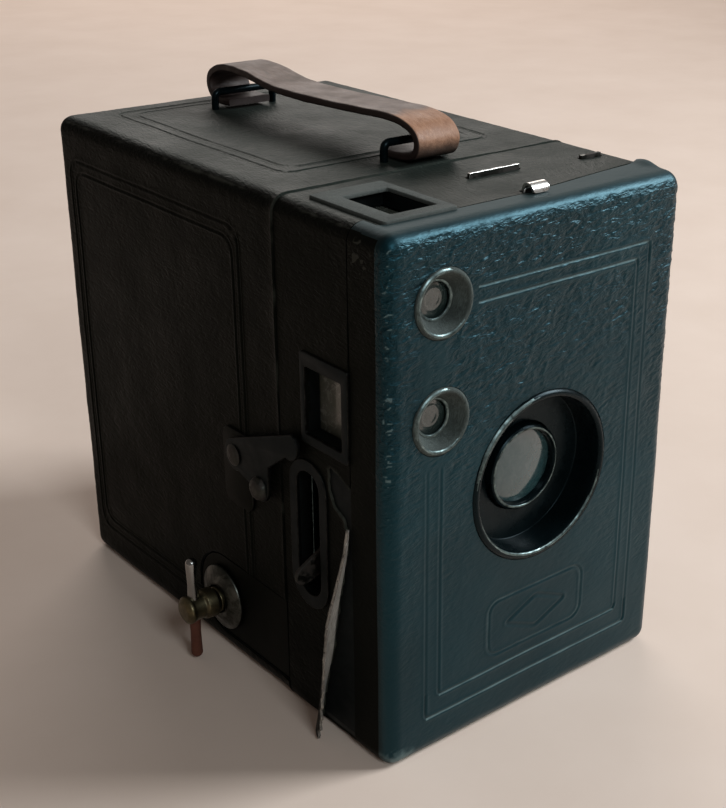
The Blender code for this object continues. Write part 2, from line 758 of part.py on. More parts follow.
def funnel_mesh(front, back):
    """A box whose front and back are rectangles of their own, as (y, x, z, half width, half height)."""
    bm = bmesh.new()
    bmesh.ops.create_cube(bm, size=2.0)
    for vert in bm.verts:
        y, x, z, half_x, half_z = back if vert.co.y > 0 else front
        vert.co = (x + half_x * vert.co.x, y, z + half_z * vert.co.z)
    return finished(bm, "funnel")


def build_light_cone():
    wall = 0.8 * MM
    start, end = -33.5 * MM, GATE_Y - 0.8 * MM
    near, (half_x, half_z) = 9 * MM, FRAME_HALF
    outer = funnel_mesh(
        (start, *LENS, near + wall, near + wall),
        (end, 0, HEIGHT / 2, half_x + wall, half_z + wall),
    )
    cone = add("light_cone", outer, BLACK_METAL, FRONT)
    # The hollow runs on past both ends along the same slopes.
    past = 0.05
    run = end - start
    hollow = funnel_mesh(
        (start - past * run, LENS[0] * (1 + past), LENS[1] - past * (HEIGHT / 2 - LENS[1]),
         near - past * (half_x - near), near - past * (half_z - near)),
        (end + past * run, -LENS[0] * past, HEIGHT / 2 + past * (HEIGHT / 2 - LENS[1]),
         half_x + past * (half_x - near), half_z + past * (half_z - near)),
    )  # fmt: skip
    cut(cone, add_cutter("cone_hollow", hollow))


def build_insert_frame():
    edge = rectangle((-34 * MM, 3.1 * MM), (59.4 * MM, 112.9 * MM), 4 * MM, 2)
    bore = circle(SPOOL_Y, TAKEUP_Z, 3.5 * MM, 20)
    plate("insert_plate_left", [edge, bore], 1 * MM, -INSERT_X, "X", BLACK_METAL, FRONT)
    plate("insert_plate_right", [edge], 1 * MM, INSERT_X, "X", BLACK_METAL, FRONT)
    half_x, half_z = FRAME_HALF
    middle = HEIGHT / 2
    edge = rectangle((-35.4 * MM, 12.4 * MM), (35.4 * MM, HEIGHT - 12.4 * MM), 1 * MM, 1)
    picture = rectangle((-half_x, middle - half_z), (half_x, middle + half_z), 0.8 * MM, 1)
    plate("film_gate", [edge, picture], 1 * MM, GATE_Y, "Y", BLACK_METAL, FRONT)


def build_rollers():
    profile = scaled(
        [(0, 35.5), (1.2, 35.5), (1.2, 33), (2.8, 33), (2.8, -33), (1.2, -33), (1.2, -35.5), (0, -35.5)]
    )
    for name, body, z in (("bottom", ROLLER_BOTTOM, ROLLER_Z[0]), ("top", ROLLER_TOP, ROLLER_Z[1])):
        turned("film_roller_" + name, profile, (0, ROLLER_Y, z), X_AXIS, NICKEL, body, 16, ring=False)


def build_spools():
    end, flange = SPOOL_LENGTH / 2, 0.8 * MM
    profile = [
        (FLANGE_RADIUS, end), (FLANGE_RADIUS, end - flange), (5 * MM, end - flange),
        (5 * MM, flange - end), (FLANGE_RADIUS, flange - end), (FLANGE_RADIUS, -end),
        (2.3 * MM, -end), (2.3 * MM, end),
    ]  # fmt: skip
    turned("supply_spool", profile, (0, SPOOL_Y, SUPPLY_Z), X_AXIS, SPOOL_WOOD, SUPPLY, 24)
    turned("takeup_spool", profile, (0, SPOOL_Y, TAKEUP_Z), X_AXIS, SPOOL_WOOD, TAKEUP, 24)


def build_spool_pins():
    """Pins on the side plates that enter the spools' ends."""
    inner = INSERT_X - 0.5 * MM - GAP
    length = inner - (SPOOL_LENGTH / 2 - 2.6 * MM)
    for name, side, z in (
        ("supply_left", -1, SUPPLY_Z), ("supply_right", 1, SUPPLY_Z), ("takeup", 1, TAKEUP_Z),
    ):  # fmt: skip
        place = (side * (inner - length / 2), SPOOL_Y, z)
        add("spool_pin_" + name, cylinder_mesh(1.8 * MM, length, X_AXIS, 12), NICKEL, FRONT, place)


def build_spool_springs():
    """Bowed leaf springs between the right side plate and each spool's flange."""
    inner = INSERT_X - 0.5 * MM - GAP
    bow = ((0.4, 0), (2.0, 4), (3.6, 9), (3.6, 12), (2.2, 15))  # (away from the plate, along it) in mm
    for name, start_z, way in (("supply", 83 * MM, 1), ("takeup", 33 * MM, -1)):
        bm = bmesh.new()
        rows = []
        for out, along in bow:
            x, z = inner - out * MM, start_z + way * along * MM
            rows.append([bm.verts.new((x, SPOOL_Y + side * 3.5 * MM, z)) for side in (-1, 1)])
        for a, b in zip(rows, rows[1:]):
            bm.faces.new((a[0], a[1], b[1], b[0]))
        leaf = add("spool_spring_" + name, finished(bm, "leaf"), NICKEL, FRONT)
        solid = leaf.modifiers.new("thickness", "SOLIDIFY")
        solid.thickness = 0.4 * MM
        solid.offset = 0


def build_key():
    """The winding key turns in its sleeve and pulls out of it, along -X."""
    axle = circle(SPOOL_Y, TAKEUP_Z, 3.5 * MM, 24)
    place = (-HALF, SPOOL_Y, TAKEUP_Z)
    front = SEAM_Y + 2 * GAP
    plate(
        "key_plate", [notch_outline(0.35 * MM, front), axle], 1.4 * MM, -HALF + 0.7 * MM, "X",
        LEATHER, FRONT,
    )  # fmt: skip
    ring = [(4.6, 2.4), (6.2, 1.6), (8.0, 0.9), (8.0, 0.3), (3.5, 0.3), (3.5, 2.4)]
    turned("key_escutcheon", scaled(ring), place, -X_AXIS, NICKEL, FRONT, 32)
    sleeve = [(3.1, 2.8), (3.1, -7.5), (2.0, -7.5), (2.0, 2.8)]
    turned("key_sleeve", scaled(sleeve), place, -X_AXIS, BRASS, SLEEVE, 20)
    shaft = [(0, 3.2), (1.6, 3.2), (1.6, -13), (0, -13)]
    turned("key_shaft", scaled(shaft), place, -X_AXIS, NICKEL, KEY, 12, ring=False)
    hub = [(0, 11.4), (2.6, 11.4), (3.4, 10.6), (3.6, 3.5), (0, 3.5)]
    wing = turned("key_wing", scaled(hub), place, -X_AXIS, BRASS, KEY, 20, ring=False)
    bar = cylinder_mesh(WING_RADIUS, 2 * WING_REACH, Z_AXIS, 12)
    join(wing, add_cutter("key_bar", bar, (-HALF - 8.5 * MM, SPOOL_Y, TAKEUP_Z)))


WING_RADIUS = 1.4 * MM
WING_REACH = 13.2 * MM


# Torn leather on the left side

FLAP_ROWS = [  # (height, y of the glued edge, how far out the free edge stands, y of the free edge) in mm
    (53, -51.6, 0.5, -52.2), (46, -50.6, 1.5, -51.6), (38, -48.6, 2.7, -50.2), (30, -46.9, 3.6, -48.6),
    (21, -45.2, 4.0, -47.8), (12, -42.6, 4.3, -47.5), (5, -41.0, 4.5, -47.0), (0.6, -40.0, 4.3, -45.6),
]  # fmt: skip


def build_leather_flap():
    """The loose corner of the side's leather, standing off along its torn front edge."""
    stand, bulge = 0.8 * MM, 0.7 * MM
    bm = bmesh.new()
    rows = []
    for height, glued_y, out, free_y in FLAP_ROWS:
        row = []
        for step in range(4):
            t = step / 3
            x = -HALF - stand - out * MM * t - bulge * math.sin(math.pi * t) * out / 4.5
            row.append(bm.verts.new((x, (glued_y + (free_y - glued_y) * t) * MM, height * MM)))
        rows.append(row)
    for above, below in zip(rows, rows[1:]):
        for i in range(3):
            bm.faces.new((above[i], above[i + 1], below[i + 1], below[i]))
    flap = add("leather_flap", finished(bm, "flap", smooth=True), LEATHER, FRONT)
    solid = flap.modifiers.new("thickness", "SOLIDIFY")
    solid.thickness = 0.8 * MM
    solid.offset = 0


def build():
    build_rear_shell()
    build_red_window()
    build_tripod_bushes()
    build_strap()
    build_strap_lugs()
    build_latches()
    build_front_body()
    build_front_panel()
    build_lens()
    build_finder_lenses()
    build_finder_mirrors()
    build_finder_windows()
    build_shutter_plate()
    build_shutter_disc()
    build_shutter_lever()
    build_lever_escutcheon()
    build_aperture_slide()
    build_time_slide()
    build_close_up()
    build_light_cone()
    build_insert_frame()
    build_rollers()
    build_spools()
    build_spool_pins()
    build_spool_springs()
    build_key()
    build_leather_flap()


clear_scene()
PARTS = new_collection("box_camera")
CUTTERS = new_collection("cutters")

LEATHER = material("black_leather", (0.03, 0.045, 0.05), 0.45)
STRAP_LEATHER = material("brown_leather", (0.22, 0.10, 0.05), 0.6)
BLACK_METAL = material("black_lacquer", (0.02, 0.022, 0.024), 0.35)
NICKEL = material("nickel", (0.55, 0.54, 0.5), 0.3, 1.0)
BRASS = material("worn_brass", (0.32, 0.27, 0.16), 0.45, 1.0)
GLASS = material("glass", (0.8, 0.85, 0.85), 0.05, alpha=0.35)
RED_GLASS = material("red_glass", (0.5, 0.03, 0.02), 0.1)
MIRROR = material("mirror", (0.8, 0.8, 0.8), 0.05, 1.0)
SPOOL_WOOD = material("spool_wood", (0.35, 0.22, 0.12), 0.6)

BACK = pivot("camera_back", (0, 0, 0))
FRONT = pivot("camera_front", (0, 0, 0), BACK)
LATCH_LEFT = pivot("latch_left", (-HALF, *LATCH_PIVOT), BACK)
LATCH_RIGHT = pivot("latch_right", (HALF, *LATCH_PIVOT), BACK)
LEVER = pivot("shutter_lever_pivot", (LEVER_PIVOT[0], LEVER_Y, LEVER_PIVOT[1]), FRONT)
DISC = pivot("shutter_disc_pivot", (DISC_PIVOT[0], SHUTTER_DISC_Y, DISC_PIVOT[1]), FRONT)
APERTURE = pivot("aperture_way", (LENS[0], APERTURE_Y, LENS[1]), FRONT)
TIME = pivot("time_way", (TIME_X[0], TIME_SLIDE_Y, HEIGHT), FRONT)
CLOSE_UP = pivot("close_up_way", (LENS[0], CLOSE_UP_Y, LENS[1]), FRONT)
SUPPLY = pivot("supply_axis", (0, SPOOL_Y, SUPPLY_Z), FRONT)
TAKEUP = pivot("takeup_axis", (0, SPOOL_Y, TAKEUP_Z), FRONT)
ROLLER_BOTTOM = pivot("roller_bottom_axis", (0, ROLLER_Y, ROLLER_Z[0]), FRONT)
ROLLER_TOP = pivot("roller_top_axis", (0, ROLLER_Y, ROLLER_Z[1]), FRONT)
SLEEVE = pivot("key_axis", (-HALF, SPOOL_Y, TAKEUP_Z), FRONT)
KEY = pivot("key_way", (-HALF, SPOOL_Y, TAKEUP_Z), SLEEVE)

build()
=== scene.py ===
"""Looks of the box camera: leather skins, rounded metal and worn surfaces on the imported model.

World frame, in metres: +X is the right-hand side seen from the front, the lens looks along -Y, +Z is up.
"""

import itertools
import json
import math

import bmesh
import bpy
import numpy as np
from mathutils import Matrix, Vector


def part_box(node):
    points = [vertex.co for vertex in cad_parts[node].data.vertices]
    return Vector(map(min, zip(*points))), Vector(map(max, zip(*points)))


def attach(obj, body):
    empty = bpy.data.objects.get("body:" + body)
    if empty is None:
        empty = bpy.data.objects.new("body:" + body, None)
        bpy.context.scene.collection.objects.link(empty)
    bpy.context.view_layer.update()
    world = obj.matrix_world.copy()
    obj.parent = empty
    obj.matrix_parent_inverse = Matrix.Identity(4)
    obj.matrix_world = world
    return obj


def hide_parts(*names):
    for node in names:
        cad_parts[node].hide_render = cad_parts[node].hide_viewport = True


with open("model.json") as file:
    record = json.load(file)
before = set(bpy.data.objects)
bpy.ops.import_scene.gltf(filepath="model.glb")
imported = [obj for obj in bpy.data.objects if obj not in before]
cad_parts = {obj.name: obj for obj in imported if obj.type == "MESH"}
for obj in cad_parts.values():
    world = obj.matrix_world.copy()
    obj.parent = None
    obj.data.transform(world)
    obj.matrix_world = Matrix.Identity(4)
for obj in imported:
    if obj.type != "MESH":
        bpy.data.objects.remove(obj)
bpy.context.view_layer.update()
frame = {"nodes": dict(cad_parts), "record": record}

MM = 0.001
X_AXIS, Y_AXIS, Z_AXIS = Vector((1, 0, 0)), Vector((0, 1, 0)), Vector((0, 0, 1))

BODY_OF = {
    node: body for body, nodes in frame["record"]["behaviour"]["bodies"].items() for node in nodes
}

# The box, from the frame
SHELL_LOW, SHELL_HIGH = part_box("rear_shell")
BAND_LOW, BAND_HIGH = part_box("front_body")
PANEL_LOW, PANEL_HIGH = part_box("front_panel")
LEFT, RIGHT, TOP = PANEL_LOW.x, PANEL_HIGH.x, PANEL_HIGH.z
FRONT_Y, BACK_Y = PANEL_LOW.y, SHELL_HIGH.y
SEAM_Y = SHELL_LOW.y
PANEL_LIP_Y = PANEL_HIGH.y
TOP_SEAM_Y = PANEL_LIP_Y - 4.2 * MM
EDGE_RADIUS = 3.2 * MM
SKIN = 0.35 * MM  # how far the leather's face stands off the metal


def middle(node):
    low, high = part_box(node)
    return (low + high) / 2


def axes_across(axis):
    """The two other axes of a face, along which its outlines run."""
    return [other for other in range(3) if other != axis]


LENS = middle("lens_well")
FINDERS = {"upper": middle("finder_ring_upper"), "lower": middle("finder_ring_lower")}


# Random patterns


def hashed(cells, seed):
    """Repeatable numbers from 0 to 1, one for each cell of whole-number coordinates."""
    mixed = cells[..., 0] * 73856093 ^ cells[..., 1] * 19349663 ^ cells[..., 2] * 83492791
    mixed = (mixed ^ (seed * 40503 + 977)) * 1274126177
    mixed = (mixed ^ (mixed >> 15)) * 668265263
    return ((mixed ^ (mixed >> 13)) & 0xFFFF) / 65535.0


def smooth_noise(points, size, seed=0):
    """Noise from -1 to 1 with features of about a size."""
    scaled = points / size
    cell = np.floor(scaled).astype(np.int64)
    t = scaled - cell
    t = t * t * (3 - 2 * t)
    total = np.zeros(len(points))
    for corner in itertools.product((0, 1), repeat=3):
        weight = np.prod(np.where(corner, t, 1 - t), axis=1)
        total += weight * hashed(cell + np.array(corner), seed)
    return 2 * total - 1


def cell_edges(points, size, seed=0):
    """How far points are from the lines between random cells: 0 on a line, near 1 in a cell's middle."""
    scaled = points / size
    cell = np.floor(scaled).astype(np.int64)
    first = np.full(len(points), 9.0)
    second = first.copy()
    for shift in itertools.product((-1, 0, 1), repeat=3):
        there = cell + np.array(shift)
        place = there + np.stack([hashed(there, seed + k) for k in (1, 2, 3)], axis=1)
        gap = np.linalg.norm(place - scaled, axis=1)
        second = np.minimum(second, np.maximum(first, gap))
        first = np.minimum(first, gap)
    return np.clip(second - first, 0, 1)


def smooth_step(values, low, high):
    t = np.clip((values - low) / (high - low), 0, 1)
    return t * t * (3 - 2 * t)


# Outlines, as lists of (u, v)


def arc(u, v, radius, start, end, steps=12):
    """Points along an arc between two angles in degrees."""
    turns = [math.radians(start + (end - start) * i / steps) for i in range(steps + 1)]
    return [(u + radius * math.cos(a), v + radius * math.sin(a)) for a in turns]


def circle(u, v, radius, steps=64):
    return arc(u, v, radius, 0, 360, steps)[:-1]


def rectangle(low, high, radius, steps=5):
    u0, v0, u1, v1 = low[0] + radius, low[1] + radius, high[0] - radius, high[1] - radius
    return (
        arc(u1, v1, radius, 0, 90, steps)
        + arc(u0, v1, radius, 90, 180, steps)
        + arc(u0, v0, radius, 180, 270, steps)
        + arc(u1, v0, radius, 270, 360, steps)
    )


def in_metres(*sides):
    """Rectangles given as (u0, v0, u1, v1) in mm, each as its lowest and its highest corner."""
    return [((u0 * MM, v0 * MM), (u1 * MM, v1 * MM)) for u0, v0, u1, v1 in sides]


def softened(points, radius, closed=True, steps=4):
    """The outline with a short curve for each corner."""
    points = [np.array(point, float) for point in points]
    made = []
    for i, corner in enumerate(points):
        if not closed and i in (0, len(points) - 1):
            made.append(tuple(corner))
            continue
        before, after = points[i - 1] - corner, points[(i + 1) % len(points)] - corner
        start = corner + before * min(0.48, radius / max(np.linalg.norm(before), 1e-9))
        end = corner + after * min(0.48, radius / max(np.linalg.norm(after), 1e-9))
        for k in range(steps + 1):
            t = k / steps
            made.append(tuple((1 - t) ** 2 * start + 2 * t * (1 - t) * corner + t * t * end))
    return made


def smooth_path(points, spans):
    """Points on a smooth curve through the given ones (Catmull-Rom)."""
    ends = [points[0], *points, points[-1]]
    made = []
    for a, b, c, d in zip(ends, ends[1:], ends[2:], ends[3:]):
        a, b, c, d = (np.array(point, float) for point in (a, b, c, d))
        for i in range(spans):
            t = i / spans
            curve = 2 * b + (c - a) * t + (2 * a - 5 * b + 4 * c - d) * t**2
            made.append(0.5 * (curve + (3 * b - a - 3 * c + d) * t**3))
    made.append(np.array(points[-1], float))
    return made


def nearest_on(points, outline):
    """Distance of (u, v) points from a closed outline, negative inside, and the nearest places on it."""
    a = np.array(outline)
    run = np.roll(a, -1, axis=0) - a
    offset = points[:, None, :] - a
    t = np.clip((offset * run).sum(-1) / np.maximum((run * run).sum(-1), 1e-18), 0, 1)
    near = a + t[..., None] * run
    gap = np.linalg.norm(points[:, None, :] - near, axis=-1)
    best = gap.argmin(axis=1)
    rows = np.arange(len(points))
    crossed = (offset[..., 1] < 0) != (offset[..., 1] < run[:, 1])
    slope = run[:, 0] / np.where(run[:, 1] == 0, 1, run[:, 1])
    inside = (crossed & (offset[..., 0] < slope * offset[..., 1])).sum(axis=1) % 2 == 1
    distance = gap[rows, best]
    return np.where(inside, -distance, distance), near[rows, best]


# Making pieces


def finished(bm, name, angle=40):
    mesh = bpy.data.meshes.new(name)
    bm.to_mesh(mesh)
    bm.free()
    mesh.shade_smooth()
    mesh.set_sharp_from_angle(angle=math.radians(angle))
    return mesh


def piece(name, mesh, looks, body, replaces=()):
    obj = bpy.data.objects.new(name, mesh)
    bpy.context.scene.collection.objects.link(obj)
    for look in looks if isinstance(looks, (list, tuple)) else [looks]:
        mesh.materials.append(look)
    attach(obj, body)
    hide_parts(*replaces)
    return obj


def heading(path, i):
    """The unit direction of a path at one of its points."""
    run = np.subtract(path[min(i + 1, len(path) - 1)], path[max(i - 1, 0)])
    return run / np.linalg.norm(run)


def bridge(bm, rows, closed=True):
    """Makes the faces between neighbouring rows of vertices, all the way round if closed."""
    for a, b in zip(rows, rows[1:]):
        for k in range(len(a) if closed else len(a) - 1):
            n = (k + 1) % len(a)
            bm.faces.new((a[k], a[n], b[n], b[k]))


def bar(bm, rows):
    """Makes a solid bar out of rows of vertices round it, with a face at each end."""
    bridge(bm, rows)
    bm.faces.new(rows[0][::-1])
    bm.faces.new(rows[-1])


def turned_mesh(name, profile, place, axis, steps=96, closed=True):
    """A profile of (radius, height), in mm, turned about an axis through a place."""
    bm = bmesh.new()
    rings = []
    for i in range(steps):
        right, up = MM * math.cos(2 * math.pi * i / steps), MM * math.sin(2 * math.pi * i / steps)
        rings.append([bm.verts.new((r * right, r * up, h * MM)) for r, h in profile])
    bridge(bm, rings + rings[:1], closed)
    bmesh.ops.remove_doubles(bm, verts=bm.verts, dist=1e-7)
    bmesh.ops.recalc_face_normals(bm, faces=bm.faces)
    turn = Z_AXIS.rotation_difference(axis).to_matrix().to_4x4()
    bmesh.ops.transform(bm, matrix=Matrix.Translation(place) @ turn, verts=bm.verts)
    return finished(bm, name)


FACING = {
    "X": Matrix(((0, 0, 1), (1, 0, 0), (0, 1, 0))),  # outlines are (y, z)
    "Y": Matrix(((1, 0, 0), (0, 0, -1), (0, 1, 0))),  # outlines are (x, z)
    "Z": Matrix.Identity(3),  # outlines are (x, y)
}


def plate_mesh(name, outlines, thickness, level, facing, edge=0.15 * MM):
    """A flat sheet with rounded edges, whose edge faces take the second material."""
    curve = bpy.data.curves.new(name, "CURVE")
    curve.dimensions = "2D"
    curve.fill_mode = "BOTH"
    curve.extrude = thickness / 2 - edge
    curve.bevel_depth = edge
    curve.bevel_resolution = 2
    curve.offset = -edge
    for outline in outlines:
        spline = curve.splines.new("POLY")
        spline.points.add(len(outline) - 1)
        for point, (u, v) in zip(spline.points, outline):
            point.co = (u, v, 0, 1)
        spline.use_cyclic_u = True
    shape = bpy.data.objects.new(name, curve)
    bpy.context.scene.collection.objects.link(shape)
    bpy.context.view_layer.update()
    graph = bpy.context.evaluated_depsgraph_get()
    mesh = bpy.data.meshes.new_from_object(shape.evaluated_get(graph))
    bpy.data.objects.remove(shape)
    bm = bmesh.new()
    bm.from_mesh(mesh)
    bmesh.ops.remove_doubles(bm, verts=bm.verts, dist=1e-7)
    bmesh.ops.recalc_face_normals(bm, faces=bm.faces)
    for face in bm.faces:
        face.material_index = int(abs(face.normal.z) < 0.9)
    axis = "XYZ".index(facing)
    shift = Vector((0, 0, 0))
    shift[axis] = level
    bmesh.ops.transform(bm, matrix=Matrix.Translation(shift) @ FACING[facing].to_4x4(), verts=bm.verts)
    return finished(bm, name, 30)


def refined(node, looks, width=0.15 * MM):
    """The CAD node again with rounded edges, which take the second material if there is one."""
    bm = bmesh.new()
    bm.from_mesh(frame["nodes"][node].data)
    bmesh.ops.remove_doubles(bm, verts=bm.verts, dist=1e-6)
    bmesh.ops.dissolve_limit(bm, angle_limit=math.radians(1), verts=bm.verts, edges=bm.edges)
    obj = piece(node + "_fine", finished(bm, node + "_fine", 33), looks, BODY_OF[node], [node])
    bevel = obj.modifiers.new("edges", "BEVEL")
    bevel.width = width
    bevel.segments = 2
    bevel.limit_method = "ANGLE"
    bevel.angle_limit = math.radians(33)
    bevel.material = len(obj.data.materials) - 1
    bevel.harden_normals = True
    return obj


# Leather skins


class Sheet:
    """Leather over the faces of a box with rounded edges, as grids that meet at the box's edges.

    A face is (axis, side), and its outlines are in its two other coordinates."""

    def __init__(self, low, high, lines, faces, open_low=(), open_high=()):
        self.low, self.high = np.array(low), np.array(high)
        self.inner_low = self.low + EDGE_RADIUS
        self.inner_high = self.high - EDGE_RADIUS
        for axis in open_low:
            self.inner_low[axis] = self.low[axis]
        for axis in open_high:
            self.inner_high[axis] = self.high[axis]
        points, quads, owner = [], [], []
        count = 0
        for index, (axis, side) in enumerate(faces):
            across = axes_across(axis)
            u, v = np.meshgrid(lines[across[0]], lines[across[1]], indexing="ij")
            grid = np.empty((u.size, 3))
            grid[:, across[0]], grid[:, across[1]] = u.ravel(), v.ravel()
            grid[:, axis] = (self.high if side > 0 else self.low)[axis]
            wide, tall = u.shape
            corner = (np.arange(wide - 1)[:, None] * tall + np.arange(tall - 1)).ravel() + count
            quad = np.stack([corner, corner + tall, corner + tall + 1, corner + 1], axis=1)
            facing_out = side * (-1 if axis == 1 else 1) > 0
            quads.append(quad if facing_out else quad[:, ::-1])
            points.append(grid)
            owner.append(np.full(u.size, index))
            count += u.size
        self.faces = list(faces)
        self.points, self.quads = np.concatenate(points), np.concatenate(quads)
        self.owner = np.concatenate(owner)

    def on(self, face):
        """The indices of a face's points, and the two axes across it."""
        return np.flatnonzero(self.owner == self.faces.index(face)), axes_across(face[0])

    def cut(self, face, outline):
        """Removes the leather inside an outline, and draws the cut edge onto it."""
        rows, across = self.on(face)
        distance, near = nearest_on(self.points[np.ix_(rows, across)], outline)
        signed = np.full(len(self.points), 1.0)
        signed[rows] = distance
        self.quads = self.quads[(signed[self.quads] > 1e-7).any(axis=1)]
        kept = np.zeros(len(self.points), bool)
        kept[self.quads.ravel()] = True
        moved = kept[rows] & (distance < 0)
        self.points[np.ix_(rows[moved], across)] = near[moved]

    def wrap(self):
        """Rounds the box's edges, and lifts the leather off the metal."""
        core = np.clip(self.points, self.inner_low, self.inner_high)
        out = self.points - core
        self.normals = out / np.linalg.norm(out, axis=1, keepdims=True)
        self.points = core + self.normals * (EDGE_RADIUS + SKIN)
        self.height = np.zeros(len(self.points))
        # No painted teal front light unless a skin sets its share.
        self.tone = np.zeros(len(self.points))
        self.grain = np.full(len(self.points), 0.6)

    def press(self, face, outline, width, depth, part=None):
        """Embosses a line along an outline, or along the part of it where a test of (u, v) holds."""
        rows, across = self.on(face)
        at = self.points[np.ix_(rows, across)]
        distance = np.abs(nearest_on(at, outline)[0])
        groove = -np.exp(-((distance / width) ** 2))
        shoulder = 0.7 * np.exp(-(((distance - 1.9 * width) / (0.7 * width)) ** 2))
        strength = depth if part is None else depth * part(at[:, 0], at[:, 1])
        flat = np.abs(self.normals[rows, face[0]]) > 0.98
        self.height[rows] += np.where(flat, (groove + shoulder) * strength, 0)

    def mesh(self, name, wear_and_highlights, thickness=0.9 * MM):
        """The displaced leather with a cut edge all round, and per point how worn it is with painted
        highlights added, how hollow it is, its share of the front's painted teal light, and its top-facing
        share for dust and painted sheen.
        """
        bm = bmesh.new()
        mesh = bpy.data.meshes.new(name)
        used = np.unique(self.quads)
        renumber = np.zeros(len(self.points), int)
        renumber[used] = np.arange(len(used))
        lifted = self.points + self.normals * self.height[:, None]
        mesh.from_pydata(lifted[used].tolist(), [], renumber[self.quads].tolist())
        # Top-facing share: dust on the top, which the leather also uses as a painted sheen.
        dust = smooth_step(self.normals[:, 2], 0.8, 0.99)
        layers = {"wear_and_highlights": wear_and_highlights, "relief": self.height / MM, "tone": self.tone, "dust": dust}
        layers["grain"] = self.grain
        for label, values in layers.items():
            layer = mesh.attributes.new(label, "FLOAT", "POINT")
            layer.data.foreach_set("value", values[used].astype(np.float32))
        bm.from_mesh(mesh)
        bmesh.ops.remove_doubles(bm, verts=bm.verts, dist=2e-6)
        bm.normal_update()
        rim = [edge for edge in bm.edges if edge.is_boundary]
        inward = {vert.co.copy().freeze(): vert.normal.copy() for edge in rim for vert in edge.verts}
        made = bmesh.ops.extrude_edge_only(bm, edges=rim)["geom"]
        for vert in made:
            if isinstance(vert, bmesh.types.BMVert):
                vert.co -= inward[vert.co.copy().freeze()] * thickness
        bm.normal_update()
        bpy.data.meshes.remove(mesh)
        return finished(bm, name, 55)


def grid_lines(low, high, step, fine=()):
    """Positions about a step apart, with closer ones across each embossed line."""
    base = np.linspace(low, high, max(2, round((high - low) / step) + 1))
    close = [at + shift * MM for at in fine for shift in (-0.75, -0.5, -0.25, 0, 0.25, 0.5, 0.75)]
    close = [at for at in close if low + 0.2 * MM < at < high - 0.2 * MM]
    kept = [at for at in base if all(abs(at - other) > 0.14 * MM for other in close)]
    return np.array(sorted({low, high, *kept, *close}))


def wrinkles(points, along, size, stretch, seed):
    """Height from 0 to 1 of crinkled leather whose wrinkles run along a direction."""
    along = np.array(Vector(along).normalized())
    run = points @ along
    squeezed = points - along * (run * (1 - 1 / stretch))[:, None]
    bent = squeezed + 0.22 * size * np.stack(
        [smooth_noise(squeezed, 2.2 * size, seed + k) for k in (11, 12, 13)], axis=1
    )
    crests = 1 - np.clip(np.abs(smooth_noise(bent, 1.1 * size, seed + 20)) * 2.6, 0, 1)
    pebbles = smooth_step(cell_edges(bent, size, seed), 0.02, 0.5)
    return 0.6 * crests**1.3 + 0.4 * pebbles


def edge_wear(sheet, seed):
    """How worn each point is: the box's edges and corners, unevenly."""
    bend = 1 - np.abs(sheet.normals).max(axis=1)
    uneven = smooth_noise(sheet.points, 5 * MM, seed) * 0.5
    uneven += smooth_noise(sheet.points, 1.4 * MM, seed + 1) * 0.35
    return np.clip(smooth_step(bend, 0.02, 0.4) * (0.75 + uneven), 0, 1)


def waves(points, seed):
    """The slow unevenness of old card and leather."""
    return MM * (smooth_noise(points, 22 * MM, seed) * 0.14 + smooth_noise(points, 7 * MM, seed + 1) * 0.05)


FRONT_FACE, BACK_FACE = (1, -1), (1, 1)
LEFT_FACE, RIGHT_FACE = (0, -1), (0, 1)
TOP_FACE, BOTTOM_FACE = (2, 1), (2, -1)


